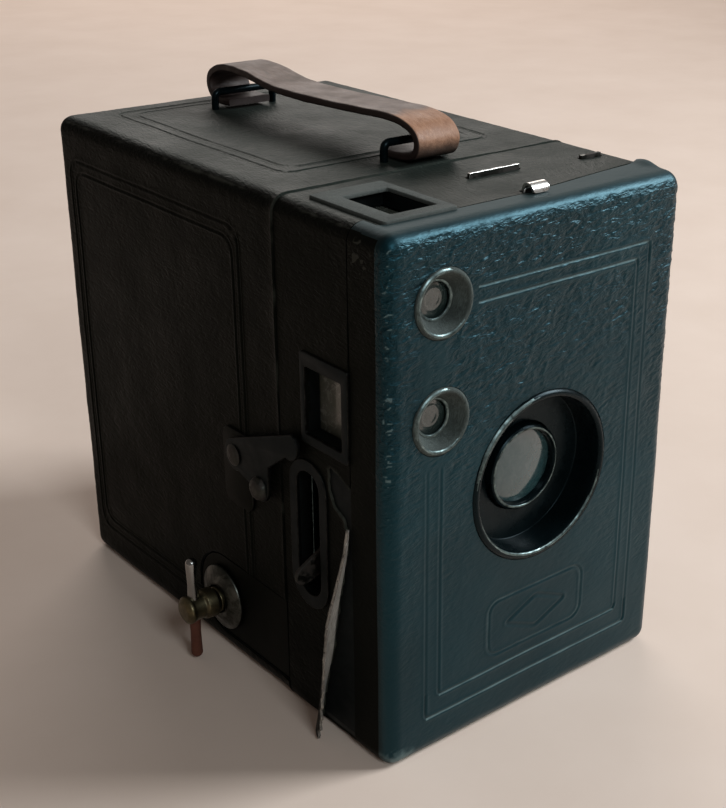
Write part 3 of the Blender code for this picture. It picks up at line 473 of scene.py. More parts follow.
def build_front_skin(looks):
    """Crinkled leather over the front panel, with double lines and a plain cartouche pressed into it."""
    outer, inner, badge = in_metres((-30.5, 8.9, 30.5, 102.8), (-27, 13.6, 27, 99.6), (-13, 16.9, 15, 30.3))
    step = 0.37 * MM
    lines = (
        grid_lines(LEFT, RIGHT, step, [corner[0] for corner in outer + inner]),
        grid_lines(FRONT_Y, PANEL_LIP_Y, 0.62 * MM),
        grid_lines(0, TOP, step, [corner[1] for corner in outer + inner + badge]),
    )
    faces = (FRONT_FACE, LEFT_FACE, RIGHT_FACE, TOP_FACE, BOTTOM_FACE)
    sheet = Sheet((LEFT, FRONT_Y, 0), (RIGHT, PANEL_LIP_Y, TOP), lines, faces, open_high=(1,))
    sheet.cut(FRONT_FACE, circle(LENS.x, LENS.z, 19.35 * MM, 96))
    for finder in FINDERS.values():
        sheet.cut(FRONT_FACE, circle(finder.x, finder.z, 7.25 * MM, 64))
    # The lip along the top is narrow on the left and widens to the right-hand corner.
    past = PANEL_LIP_Y + 5 * MM
    slope = [(-36.4 * MM, past), (-36.4 * MM, TOP_SEAM_Y), (2 * MM, TOP_SEAM_Y),
             (37.2 * MM, PANEL_LIP_Y - 0.3 * MM), (37.6 * MM, past)]
    sheet.cut(TOP_FACE, slope)
    sheet.wrap()
    at, normals = sheet.points, sheet.normals
    facing = np.clip(-normals[:, 1], 0, 1)
    crinkle = wrinkles(at, (1, 0, 0.2), 1.2 * MM, 2.4, 3)
    calm = smooth_noise(at, 15 * MM, 31) * 0.5 + smooth_noise(at, 6 * MM, 32) * 0.2
    rough = np.clip(0.55 + 0.35 * calm + 1.5 * (at[:, 2] / TOP - 0.52), 0.1, 1)
    stretched = smooth_step(-normals[:, 1], 0.97, 0.75) * smooth_step(normals[:, 2], 0.1, 0.4)
    near_line = np.zeros(len(at))
    for low, high in (outer, inner):
        distance = np.abs(nearest_on(at[:, [0, 2]], rectangle(low, high, 1.2 * MM))[0])
        near_line = np.maximum(near_line, facing * np.exp(-((distance / (1.5 * MM)) ** 2)))
    depth = (0.04 + 0.22 * facing) * MM * rough * (1 - 0.85 * near_line) * (1 - 0.92 * stretched)
    sheet.height += (crinkle - 0.5) * depth + waves(at, 41)
    sheet.grain = 0.8 * rough * (1 - 0.7 * near_line) * (1 - 0.9 * stretched)
    # The front-facing share, where the leather takes its painted teal light.
    sheet.tone = smooth_step(-normals[:, 1], 0.2, 0.6)
    # The lip's leather stands up at the right-hand corner.
    corner = np.linalg.norm((at - np.array((38.5 * MM, -54 * MM, TOP))) / np.array((1.6, 2.2, 2.2)), axis=1)
    sheet.height += 1.1 * MM * np.exp(-((corner / (1.5 * MM)) ** 2))

    def shown(x, z):
        upright = np.abs(x) > 26.5 * MM
        upright &= (z > 15 * MM) & (z < 98 * MM)
        return np.where((x < -17.5 * MM) & (z > 67 * MM), 0.0, np.where(upright, 0.4, 1.0))

    for low, high in (outer, inner):
        sheet.press(FRONT_FACE, rectangle(low, high, 1.2 * MM), 0.3 * MM, 0.18 * MM, shown)
    sheet.press(FRONT_FACE, rectangle(*badge, 3 * MM), 0.3 * MM, 0.18 * MM)
    diamond = [(1 * MM, 19.6 * MM), (10 * MM, 23.6 * MM), (1 * MM, 27.6 * MM), (-8 * MM, 23.6 * MM)]
    sheet.press(FRONT_FACE, softened(diamond, 1 * MM), 0.35 * MM, 0.18 * MM)
    # Painted highlights on the wrinkle crests along the front's left edge, joined to the worn paleness.
    left_edge = smooth_step(-normals[:, 0], 0.3, 0.6) * smooth_step(-normals[:, 1], 0.3, 0.6)
    crests = left_edge * smooth_step(crinkle, 0.45, 0.75) * smooth_step(at[:, 2], 40 * MM, 75 * MM)
    wear_and_highlights = edge_wear(sheet, 5) * (0.55 - 0.5 * stretched) * (1 - 0.8 * left_edge) + 0.9 * crests
    wear_and_highlights = np.maximum(wear_and_highlights, smooth_step(np.minimum(normals[:, 0], 1 - np.abs(normals[:, 2] - 0.6)), 0.35, 0.6)
                      * smooth_step(normals[:, 2], 0.2, 0.5))
    # Painted highlights along the level lines and round the cartouche, where light would catch the grooves'
    # shoulders; paler where worn at the lower left corner and in chips near the top.
    for low, high in (outer, inner):
        across = np.minimum(np.abs(at[:, 2] - high[1] + 0.15 * MM), np.abs(at[:, 2] - low[1] + 0.15 * MM))
        along = (at[:, 0] > low[0]) & (at[:, 0] < high[0]) & ((at[:, 0] > -18 * MM) | (at[:, 2] < 60 * MM))
        wear_and_highlights = np.maximum(wear_and_highlights, 0.9 * facing * along * np.exp(-((across / (0.34 * MM)) ** 2)))
    border = np.abs(nearest_on(at[:, [0, 2]], rectangle(*badge, 3 * MM))[0])
    wear_and_highlights = np.maximum(wear_and_highlights, 0.7 * facing * np.exp(-((border / (0.34 * MM)) ** 2)))
    blots = smooth_noise(at, 1.6 * MM, 51) * 0.5 + smooth_noise(at, 0.6 * MM, 52) * 0.5
    scuff = np.linalg.norm((at - np.array((LEFT, FRONT_Y, 0))) / np.array((2.2, 1, 1)), axis=1)
    wear_and_highlights = np.maximum(wear_and_highlights, np.exp(-((scuff / (5 * MM)) ** 2)) * (0.9 + 0.6 * blots))
    chips = np.linalg.norm(at - np.array((LEFT, FRONT_Y + 7.5 * MM, TOP - 5 * MM)), axis=1)
    wear_and_highlights = np.maximum(wear_and_highlights, 2.2 * np.exp(-((chips / (3.2 * MM)) ** 2)) * smooth_step(blots, 0.12, 0.3))
    mesh = sheet.mesh("front_leather", wear_and_highlights)
    # The lips at both sides take the body's leather: a shaded copy without the front's painted teal light.
    for face in mesh.polygons:
        at_side = face.center.x < LEFT + 0.6 * MM or face.center.x > RIGHT - 0.6 * MM
        face.material_index = int(at_side and face.center.y > FRONT_Y + 3 * MM)
    piece("front_leather", mesh, looks, "camera_front")


def torn_outline():
    """The tear in the left side's leather, as (y, z), from the panel's lip back to its ragged edge."""
    edge = [
        (-51.9, 62.0), (-48.5, 63.6), (-45.2, 64.2), (-44.9, 60), (-46.6, 56), (-49.8, 54.2), (-50.9, 50),
        (-50.2, 46), (-48.4, 38), (-46.7, 30), (-45.0, 21), (-42.5, 12), (-40.9, 5), (-39.6, -1),
    ]
    made = []
    for index, (y, z) in enumerate(smooth_path(edge, 5)):
        jag = 0.35 * math.sin(index * 2.4) + 0.25 * math.sin(index * 5.1 + 1)
        made.append(((y + jag * 0.6) * MM, (z + jag * 0.5) * MM))
    return made + [(-60 * MM, -1 * MM), (-60 * MM, 62 * MM)]


def build_band_skin(look):
    """Smoother leather round the front section, torn away on the left below the side finder."""
    step = 0.55 * MM
    low_y = TOP_SEAM_Y + 0.3 * MM
    lines = (
        grid_lines(LEFT, RIGHT, step),
        grid_lines(low_y, SEAM_Y - 0.45 * MM, 0.45 * MM),
        grid_lines(0, TOP, step),
    )
    faces = (LEFT_FACE, RIGHT_FACE, TOP_FACE, BOTTOM_FACE)
    low, high = (LEFT, low_y, 0), (RIGHT, SEAM_Y - 0.45 * MM, TOP)
    sheet = Sheet(low, high, lines, faces, open_low=(1,), open_high=(1,))
    lip = PANEL_LIP_Y + 0.35 * MM
    front = low_y - 2 * MM
    for face in (LEFT_FACE, RIGHT_FACE):
        sheet.cut(face, [(front, -9), (lip, -9), (lip, 9), (front, 9)])
    sheet.cut(BOTTOM_FACE, [(-9, front), (9, front), (9, lip), (-9, lip)])
    sheet.cut(TOP_FACE, [(1 * MM, front), (9, front), (9, lip), (37 * MM, lip), (2.4 * MM, low_y + 0.1 * MM)])
    sheet.cut(TOP_FACE, [(-9, front), (-36.2 * MM, front), (-36.2 * MM, lip), (-9, lip)])
    sheet.cut(LEFT_FACE, torn_outline())
    for node, face in (("finder_top_frame", TOP_FACE), ("finder_side_frame", LEFT_FACE)):
        sheet.cut(face, window_outline(node, face, 1.6 * MM))
    low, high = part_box("lever_escutcheon")
    slot = rectangle((low.y + 1.2 * MM, low.z + 1.2 * MM), (high.y - 1.2 * MM, high.z - 1.2 * MM), 5 * MM)
    sheet.cut(LEFT_FACE, slot)
    for node in ("aperture_slide", "time_slide", "close_up_slide"):
        sheet.cut(TOP_FACE, slide_slot(node))
    sheet.wrap()
    at = sheet.points
    crinkle = wrinkles(at, (0.2, 1, 0.1), 1.3 * MM, 1.8, 7)
    sheet.height += (crinkle - 0.6) * 0.06 * MM + waves(at, 43)
    torn = np.abs(nearest_on(at[:, [1, 2]], torn_outline())[0])
    near = np.where(at[:, 0] < LEFT + 1 * MM, np.exp(-torn / (0.9 * MM)), 0)
    sheet.height += near * 0.25 * MM
    wear_and_highlights = np.maximum(edge_wear(sheet, 9), 0.8 * near)
    piece("side_leather", sheet.mesh("side_leather", wear_and_highlights), look, "camera_front")


def window_outline(node, face, inset):
    """The outline of a frame's foot, drawn in by an inset."""
    low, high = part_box(node)
    across = axes_across(face[0])
    low, high = [low[axis] + inset for axis in across], [high[axis] - inset for axis in across]
    return rectangle(low, high, 0.8 * MM)


TAB_LEVEL = TOP - 1 * MM


def tab_box(node):
    """(lowest, highest) corner of the part of a slide that stands above the box."""
    corners = [vert.co for vert in frame["nodes"][node].data.vertices if vert.co.z > TAB_LEVEL]
    return (
        Vector([min(co[axis] for co in corners) for axis in range(3)]),
        Vector([max(co[axis] for co in corners) for axis in range(3)]),
    )


def slide_slot(node):
    low, high = tab_box(node)
    margin = 0.45 * MM
    return rectangle((low.x - margin, low.y - margin), (high.x + margin, high.y + margin), 0.4 * MM)


def build_shell_skin(look):
    """Smooth worn leather over the rear shell, with double lines pressed into each face."""
    tops = in_metres((-28.7, -15.4, 28.7, 56), (-25.5, -12, 25.5, 53))
    sides = in_metres((-15.1, 9, 57.6, 107), (-12.9, 11.6, 55.2, 104.4))
    backs = in_metres((-30.5, 9, 30.5, 107), (-27.3, 12.2, 27.3, 103.8))
    step = 0.75 * MM
    lines = (
        grid_lines(LEFT, RIGHT, step, [corner[0] for rect in tops + backs for corner in rect]),
        grid_lines(SEAM_Y, BACK_Y, step, [corner[0] for rect in sides for corner in rect]
                   + [corner[1] for rect in tops for corner in rect]),
        grid_lines(0, TOP, step, [corner[1] for rect in sides + backs for corner in rect]),
    )
    faces = (LEFT_FACE, RIGHT_FACE, TOP_FACE, BOTTOM_FACE, BACK_FACE)
    sheet = Sheet((LEFT, SEAM_Y, 0), (RIGHT, BACK_Y, TOP), lines, faces, open_low=(1,))
    key_low, key_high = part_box("key_plate")
    radius = (key_high.z - key_low.z) / 2 + 0.6 * MM
    key_z, key_y = (key_low.z + key_high.z) / 2, key_high.y - radius + 0.6 * MM
    front = SEAM_Y - 5 * MM
    notch = [(front, key_z - radius), *arc(key_y, key_z, radius, -90, 90, 24), (front, key_z + radius)]
    sheet.cut(LEFT_FACE, notch)
    window = middle("red_window")
    sheet.cut(BACK_FACE, circle(window.x, window.z, 7.6 * MM))
    bush = middle("tripod_bush_bottom")
    sheet.cut(BOTTOM_FACE, circle(bush.x, bush.y, 6.9 * MM))
    bush = middle("tripod_bush_side")
    sheet.cut(RIGHT_FACE, circle(bush.y, bush.z, 6.9 * MM))
    sheet.wrap()
    at = sheet.points
    crinkle = wrinkles(at, (0.2, 1, 0.2), 1.9 * MM, 1.6, 17)
    sheet.height += (crinkle - 0.6) * 0.07 * MM + waves(at, 47)
    pressed = {TOP_FACE: tops, BOTTOM_FACE: tops, LEFT_FACE: sides, RIGHT_FACE: sides, BACK_FACE: backs}
    for face, rects in pressed.items():
        for low, high in rects:
            sheet.press(face, rectangle(low, high, 4 * MM), 0.3 * MM, 0.17 * MM)
    # The seam's lip stands up and is paler: worn leather there, with a painted highlight along it.
    seam = np.exp(-(at[:, 1] - SEAM_Y) / (0.8 * MM))
    sheet.height += 0.3 * MM * seam
    wear_and_highlights = np.maximum(edge_wear(sheet, 13), 0.6 * seam * (0.7 + 0.5 * smooth_noise(at, 4 * MM, 14)))
    piece("shell_leather", sheet.mesh("shell_leather", wear_and_highlights), look, "camera_back")


# Materials


def new_look(name):
    made = bpy.data.materials.new(name)
    made.use_nodes = True
    return made, made.node_tree, made.node_tree.nodes["Principled BSDF"]


def put(tree, kind, inputs=None, **settings):
    """Adds a node; an input is a value, or an output of another node."""
    made = tree.nodes.new(kind)
    for key, value in settings.items():
        setattr(made, key, value)
    for key, value in (inputs or {}).items():
        if isinstance(value, bpy.types.NodeSocket):
            tree.links.new(value, made.inputs[key])
        else:
            made.inputs[key].default_value = value
    return made


def place_of(tree, scale=(1, 1, 1), turn=(0, 0, 0)):
    """Object coordinates in millimetres, along turned axes and scaled."""
    where = put(tree, "ShaderNodeTexCoord").outputs["Object"]
    scale = tuple(MM / part for part in scale)
    inputs = {"Vector": where, "Scale": scale, "Rotation": turn}
    return put(tree, "ShaderNodeMapping", inputs, vector_type="TEXTURE").outputs["Vector"]


def noise(tree, where, size, detail=4, rough=0.55, warp=0.0):
    inputs = {"Vector": where, "Scale": 1 / size, "Detail": detail, "Roughness": rough, "Distortion": warp}
    return put(tree, "ShaderNodeTexNoise", inputs).outputs["Fac"]


def ramp(tree, value, *stops):
    """Maps a value through stops of (position, grey level or colour)."""
    made = put(tree, "ShaderNodeValToRGB", {"Fac": value})
    elements = made.color_ramp.elements
    while len(elements) < len(stops):
        elements.new(0.5)
    for element, (position, colour) in zip(elements, stops):
        element.position = position
        grey = isinstance(colour, (int, float))
        element.color = (colour, colour, colour, 1) if grey else (*colour, 1)
    return made.outputs["Color"]


def mix(tree, share, a, b):
    """Blends colour a into colour b by a share."""
    made = tree.nodes.new("ShaderNodeMix")
    made.data_type = "RGBA"
    for index, value in ((0, share), (6, a), (7, b)):
        if isinstance(value, bpy.types.NodeSocket):
            tree.links.new(value, made.inputs[index])
        elif index:
            made.inputs[index].default_value = (*value, 1)
        else:
            made.inputs[index].default_value = value
    return made.outputs[2]


def calc(tree, operation, *values):
    return put(tree, "ShaderNodeMath", dict(enumerate(values)), operation=operation).outputs[0]


def attribute(tree, name):
    return put(tree, "ShaderNodeAttribute", attribute_name=name).outputs["Fac"]


def bump(tree, height, distance, strength=1.0, under=None):
    inputs = {"Height": height, "Distance": distance, "Strength": strength}
    if under:
        inputs["Normal"] = under
    return put(tree, "ShaderNodeBump", inputs).outputs["Normal"]


def join_up(tree, shader, **sockets):
    """Sets the shader's sockets by name, with underscores for spaces."""
    for key, value in sockets.items():
        socket = shader.inputs[key.replace("_", " ")]
        if isinstance(value, bpy.types.NodeSocket):
            tree.links.new(value, socket)
        else:
            socket.default_value = value


def leather_look(name, deep, face, worn, gloss, grain, tint, turn, level, tone_top=0.0):
    """Black leather: grain and pores, painted shade in its hollows and painted highlights on its crests,
    paler where worn and where highlights are painted, with dust on top that also paints a sheen, teal-lit as
    painted light on the front face.

    Its point attributes are the relief, how worn each point is with painted highlights added, the share of
    painted teal front light (1 on the front face) and the top-facing share for dust and painted sheen (1 on
    top)."""
    made, tree, shader = new_look(name)
    grain_size, grain_depth = grain
    stretched = place_of(tree, (0.4, 1, 1), turn)
    plain = place_of(tree)
    crests = noise(tree, stretched, grain_size, 3, 0.55, 0.2)
    crests = ramp(tree, crests, (0.3, 0), (0.5, 1), (0.7, 0))
    cells = {"Vector": stretched, "Scale": 1.7 / grain_size}
    pores = put(tree, "ShaderNodeTexVoronoi", cells, feature="DISTANCE_TO_EDGE").outputs["Distance"]
    patches = noise(tree, plain, 14, 3, 0.6)
    scuffs = noise(tree, place_of(tree, (0.3, 1, 0.3), (0.5, 0.3, 0.2)), 2.5, 6, 0.7, 0.4)
    tone = attribute(tree, "tone")
    # Painted shade in the hollows and painted highlights on the crests: the colour runs from the hollow
    # colour to the crest colour with the relief.
    relief = calc(tree, "MULTIPLY", attribute(tree, "relief"), 3.0)
    raised = ramp(tree, calc(tree, "ADD", relief, 0.45), (0.15, 0), (0.95, 1))
    colour = mix(tree, raised, deep, face)
    # Painted teal light: only the front-facing share keeps that lit colour, and elsewhere the leather is near
    # black.
    colour = mix(tree, tone, (0.0025, 0.0025, 0.002), colour)
    # Paler where worn; on the front this paleness also carries painted highlights along the lines, round the
    # cartouche and on the left edge's crests.
    wear_and_highlights = attribute(tree, "wear_and_highlights")
    uneven = calc(tree, "MULTIPLY", calc(tree, "SUBTRACT", scuffs, 0.5), 1.1)
    rubbed_and_highlit = calc(tree, "MULTIPLY", calc(tree, "ADD", wear_and_highlights, uneven), calc(tree, "ADD", wear_and_highlights, 0.25))
    rubbed_and_highlit = ramp(tree, rubbed_and_highlit, (0.3, 0), (0.95, 0.9))
    # Grey-green on top: dust, which also paints the sheen that the top shows.
    dust_and_sheen = calc(tree, "MULTIPLY", attribute(tree, "dust"), calc(tree, "MULTIPLY_ADD", patches, 1.2, 0.5))
    colour = mix(tree, dust_and_sheen, colour, mix(tree, scuffs, (0.007, 0.012, 0.011), (0.030, 0.034, 0.030)))
    colour = mix(tree, rubbed_and_highlit, colour, worn)
    dull = ramp(tree, patches, (0.3, gloss - 0.05), (0.7, gloss + 0.08))
    dull = mix(tree, calc(tree, "MULTIPLY", rubbed_and_highlit, 0.6), dull, (0.6, 0.6, 0.6))
    dull = mix(tree, calc(tree, "MULTIPLY", attribute(tree, "dust"), tone_top), dull, (0.66, 0.66, 0.66))
    fine = bump(tree, pores, 0.00005, 0.5)
    normal = bump(tree, crests, grain_depth, attribute(tree, "grain"), fine)
    join_up(tree, shader, Base_Color=colour, Roughness=dull, Normal=normal, Specular_Tint=(*tint, 1))
    shader.inputs["Specular IOR Level"].default_value = level
    return made


def fibre_look(name, pale, dark):
    """The torn, fibrous inner side of leather or card."""
    made, tree, shader = new_look(name)
    fibres = noise(tree, place_of(tree, (1, 1, 0.18), (0.1, 0.2, 0.1)), 0.48, 6, 0.75, 1.2)
    blotches = noise(tree, place_of(tree), 5, 3)
    colour = mix(tree, ramp(tree, fibres, (0.35, 0), (0.62, 1)), dark, pale)
    colour = mix(tree, ramp(tree, blotches, (0.45, 0), (0.7, 0.6)), colour, dark)
    normal = bump(tree, fibres, 0.0002, 0.9)
    join_up(tree, shader, Base_Color=colour, Roughness=0.85, Normal=normal)
    return made


def strap_look():
    """Brown strap leather: long creases, dark edges and underside, painted shade on the tucked tails, a tan
    bend at the front.
    """
    made, tree, shader = new_look("strap_leather")
    streaks = noise(tree, place_of(tree, (1, 0.16, 1)), 0.8, 6, 0.7, 0.5)
    blotches = noise(tree, place_of(tree), 6, 4, 0.6)
    colour = mix(tree, ramp(tree, streaks, (0.3, 0), (0.7, 1)), (0.050, 0.026, 0.018), (0.125, 0.075, 0.054))
    colour = mix(tree, ramp(tree, blotches, (0.4, 0), (0.75, 0.55)), colour, (0.085, 0.066, 0.054))
    bend = attribute(tree, "bend")
    patchy = calc(tree, "ADD", bend, calc(tree, "MULTIPLY", calc(tree, "SUBTRACT", blotches, 0.5), 0.7))
    tan = mix(tree, ramp(tree, streaks, (0.3, 0), (0.7, 1)), (0.22, 0.10, 0.052), (0.36, 0.19, 0.11))
    colour = mix(tree, ramp(tree, patchy, (0.35, 0), (0.75, 1)), colour, tan)
    # Dark along the dyed edges and the underside, and on the tucked tails as painted shade.
    edge = calc(tree, "ADD", attribute(tree, "edge"), calc(tree, "MULTIPLY", streaks, 0.25))
    colour = mix(tree, ramp(tree, edge, (0.72, 0), (1.0, 1)), colour, (0.018, 0.008, 0.006))
    normal = bump(tree, streaks, 0.00015, 0.7, bump(tree, noise(tree, place_of(tree), 0.35, 4), 0.00008, 0.6))
    dull = ramp(tree, blotches, (0.3, 0.5), (0.7, 0.68))
    join_up(tree, shader, Base_Color=colour, Roughness=dull, Normal=normal)
    return made


def lacquer_look(name, colour, level, gloss=0.24, chips=0.76, metal=(0.12, 0.13, 0.13)):
    """Black lacquer on metal, chipped here and there."""
    made, tree, shader = new_look(name)
    spots = noise(tree, place_of(tree), 1.6, 7, 0.72, 0.6)
    chipped = ramp(tree, spots, (chips, 0), (chips + 0.02, 1))
    haze = noise(tree, place_of(tree), 4, 4)
    base = mix(tree, chipped, mix(tree, haze, colour, tuple(1.8 * part for part in colour)), metal)
    dull = mix(tree, chipped, ramp(tree, haze, (0.3, gloss - 0.06), (0.7, gloss + 0.12)), (0.4, 0.4, 0.4))
    scratches = noise(tree, place_of(tree, (1, 0.1, 1), (0.3, 0.1, 0.4)), 0.5, 5, 0.7)
    normal = bump(tree, scratches, 0.00002, 0.5)
    join_up(tree, shader, Base_Color=base, Roughness=dull, Metallic=chipped, Normal=normal)
    shader.inputs["Specular Tint"].default_value = (0.6, 0.88, 1.0, 1)
    shader.inputs["Specular IOR Level"].default_value = level
    return made


def metal_look(name, bright, tarnish, rust=None, gloss=0.3, spread=0.5, size=2.0):
    """Plated metal that has dulled, with rust where a colour for it is given."""
    made, tree, shader = new_look(name)
    film = noise(tree, place_of(tree), size, 6, 0.65, 0.3)
    specks = noise(tree, place_of(tree), size * 0.35, 5, 0.7)
    share = ramp(tree, film, (spread - 0.15, 0), (spread + 0.2, 1))
    colour = mix(tree, share, bright, tarnish)
    dark = tuple(0.4 * part for part in tarnish)
    colour = mix(tree, ramp(tree, specks, (0.62, 0), (0.72, 0.8)), colour, dark)
    dull = ramp(tree, film, (0.3, gloss), (0.75, gloss + 0.25))
    metallic = 1.0
    if rust:
        eaten = ramp(tree, calc(tree, "ADD", film, calc(tree, "MULTIPLY", specks, 0.4)), (0.66, 0), (0.78, 1))
        colour = mix(tree, eaten, colour, rust)
        dull = mix(tree, eaten, dull, (0.75, 0.75, 0.75))
        metallic = calc(tree, "SUBTRACT", 1.0, eaten)
    scratches = noise(tree, place_of(tree, (1, 0.08, 1), (0.2, 0.5, 0.8)), 0.3, 4, 0.7)
    normal = bump(tree, specks, 0.00004, 0.5, bump(tree, scratches, 0.000015, 0.5))
    join_up(tree, shader, Base_Color=colour, Roughness=dull, Metallic=metallic, Normal=normal)
    return made


def key_bar_look():
    """The key's cross bar: bright at the top, dark reddish-brown below its middle."""
    made, tree, shader = new_look("key_bar")
    where = put(tree, "ShaderNodeTexCoord").outputs["Object"]
    height = put(tree, "ShaderNodeSeparateXYZ", {"Vector": where}).outputs["Z"]
    key_z = middle("key_wing").z
    film = noise(tree, place_of(tree), 1.4, 6, 0.7, 0.4)
    level = calc(tree, "MULTIPLY_ADD", calc(tree, "SUBTRACT", key_z, height), 90.0, 0.5)
    share = ramp(tree, calc(tree, "ADD", level, calc(tree, "MULTIPLY", film, 0.5)), (0.55, 0), (1.0, 1))
    # Dark reddish-brown below the key's middle.
    rust = mix(tree, film, (0.06, 0.016, 0.009), (0.15, 0.05, 0.028))
    colour = mix(tree, share, (0.30, 0.30, 0.29), rust)
    dull = mix(tree, share, (0.22, 0.22, 0.22), (0.6, 0.6, 0.6))
    metallic = calc(tree, "MULTIPLY_ADD", share, -0.65, 1.0)
    join_up(tree, shader, Base_Color=colour, Roughness=dull, Metallic=metallic,
            Normal=bump(tree, film, 0.00008, 0.6))
    return made


def glass_look(name, colour, gloss, haze):
    """Old glass: clear gloss over a dull, dusty body."""
    made, tree, shader = new_look(name)
    dust = noise(tree, place_of(tree), 2.2, 6, 0.65, 0.8)
    pale = tuple(min(1.0, part + haze) for part in colour)
    base = mix(tree, ramp(tree, dust, (0.4, 0), (0.75, 1)), colour, pale)
    dull = ramp(tree, dust, (0.35, gloss), (0.75, gloss + 0.14))
    join_up(tree, shader, Base_Color=base, Roughness=dull)
    shader.inputs["Coat Weight"].default_value = 0.8
    shader.inputs["Coat Roughness"].default_value = 0.04
    return made


def wood_look():
    made, tree, shader = new_look("spool_wood")
    rings = noise(tree, place_of(tree, (0.12, 1, 1)), 1.1, 6, 0.65, 1.0)
    colour = mix(tree, ramp(tree, rings, (0.35, 0), (0.65, 1)), (0.16, 0.08, 0.04), (0.34, 0.2, 0.11))
    join_up(tree, shader, Base_Color=colour, Roughness=0.6, Normal=bump(tree, rings, 0.00005, 0.6))
    return made


def floor_look():
    """Pale painted table, faintly mottled."""
    made, tree, shader = new_look("pale_table")
    mottle = noise(tree, place_of(tree), 60, 5, 0.6)
    colour = mix(tree, ramp(tree, mottle, (0.3, 0), (0.7, 1)), (0.69, 0.56, 0.475), (0.74, 0.61, 0.525))
    join_up(tree, shader, Base_Color=colour, Roughness=0.7)
    return made


# Black leather with painted light: its teal hollow and crest colours and its teal specular tint paint the
# cool window light, and its pale teal worn colour also paints highlights.
FRONT_LEATHER_PAINTED_TEAL = leather_look(
    "front_leather", (0.0004, 0.003, 0.0045), (0.0012, 0.011, 0.015), (0.10, 0.14, 0.14), 0.40,
    (1.6, 0.00028), (0.25, 0.78, 1.0), (0, math.radians(-11), 0), 0.5, 1.0,
)
BODY_LEATHER = leather_look(
    "body_leather", (0.0010, 0.0011, 0.0007), (0.0017, 0.0019, 0.0012), (0.035, 0.036, 0.030), 0.46,
    (1.1, 0.00012), (0.7, 1.0, 0.75), (0, 0, math.radians(80)), 0.05,
)
STRAP_LEATHER = strap_look()
FIBRE = fibre_look("torn_fibre", (0.50, 0.48, 0.44), (0.26, 0.24, 0.21))
CARD = fibre_look("torn_card", (0.30, 0.27, 0.23), (0.08, 0.07, 0.06))
LACQUER = lacquer_look("black_lacquer", (0.0012, 0.0028, 0.0034), 0.14)
FINDER_CONE = fibre_look("finder_cone", (0.060, 0.080, 0.074), (0.016, 0.024, 0.022))
BARE = lacquer_look("bare_metal", (0.002, 0.0022, 0.002), 0.15, 0.5, 0.75, (0.02, 0.02, 0.02))
# Pale teal metal for worn edges, also used as painted highlights on the lens and finder rims.
WORN_AND_HIGHLIT_EDGE = metal_look("worn_and_highlit_edge", (0.20, 0.27, 0.27), (0.03, 0.04, 0.04), gloss=0.28, spread=0.45)
DARK_EDGE = metal_look("dark_edge", (0.035, 0.036, 0.033), (0.006, 0.006, 0.006), gloss=0.4, spread=0.42)
DULL_EDGE = fibre_look("dull_edge", (0.075, 0.085, 0.078), (0.045, 0.053, 0.049))
NICKEL = metal_look("nickel", (0.80, 0.79, 0.76), (0.50, 0.50, 0.46), None, 0.2, 0.62)
DULL_NICKEL = metal_look(
    "dull_nickel", (0.05, 0.052, 0.046), (0.014, 0.014, 0.012), (0.014, 0.01, 0.007), 0.35,
)
OLD_NICKEL = metal_look("old_nickel", (0.16, 0.165, 0.15), (0.03, 0.033, 0.028), None, 0.25, 0.38, 3.0)
BRASS = metal_look("worn_brass", (0.15, 0.125, 0.07), (0.05, 0.045, 0.03), None, 0.32)
KEY_BAR = key_bar_look()
LENS_GLASS = glass_look("lens_glass", (0.016, 0.046, 0.050), 0.08, 0.026)
FINDER_GLASS = glass_look("finder_glass", (0.016, 0.030, 0.028), 0.14, 0.03)
PANE = glass_look("pane_glass", (0.075, 0.08, 0.065), 0.2, 0.06)
RED_GLASS = glass_look("red_glass", (0.22, 0.012, 0.008), 0.08, 0.02)
MIRROR = metal_look("mirror", (0.78, 0.79, 0.8), (0.6, 0.6, 0.6), None, 0.04, 0.75)
WOOD = wood_look()


# Pieces


STRAP_PATH = [  # (y, z) in mm along the middle of the leather, from the tucked rear end to the front one
    (44, 117.9), (50, 117.9), (53.4, 120.0), (53.3, 123.2), (49.5, 125.5), (44, 126.3), (36, 125.9),
    (27, 124.6), (17, 124.3), (5, 124.5), (-8, 125.0), (-18, 125.3), (-24.6, 124.2), (-27.4, 121.6),
    (-26.4, 118.6), (-22, 117.6), (-16, 117.5),
]


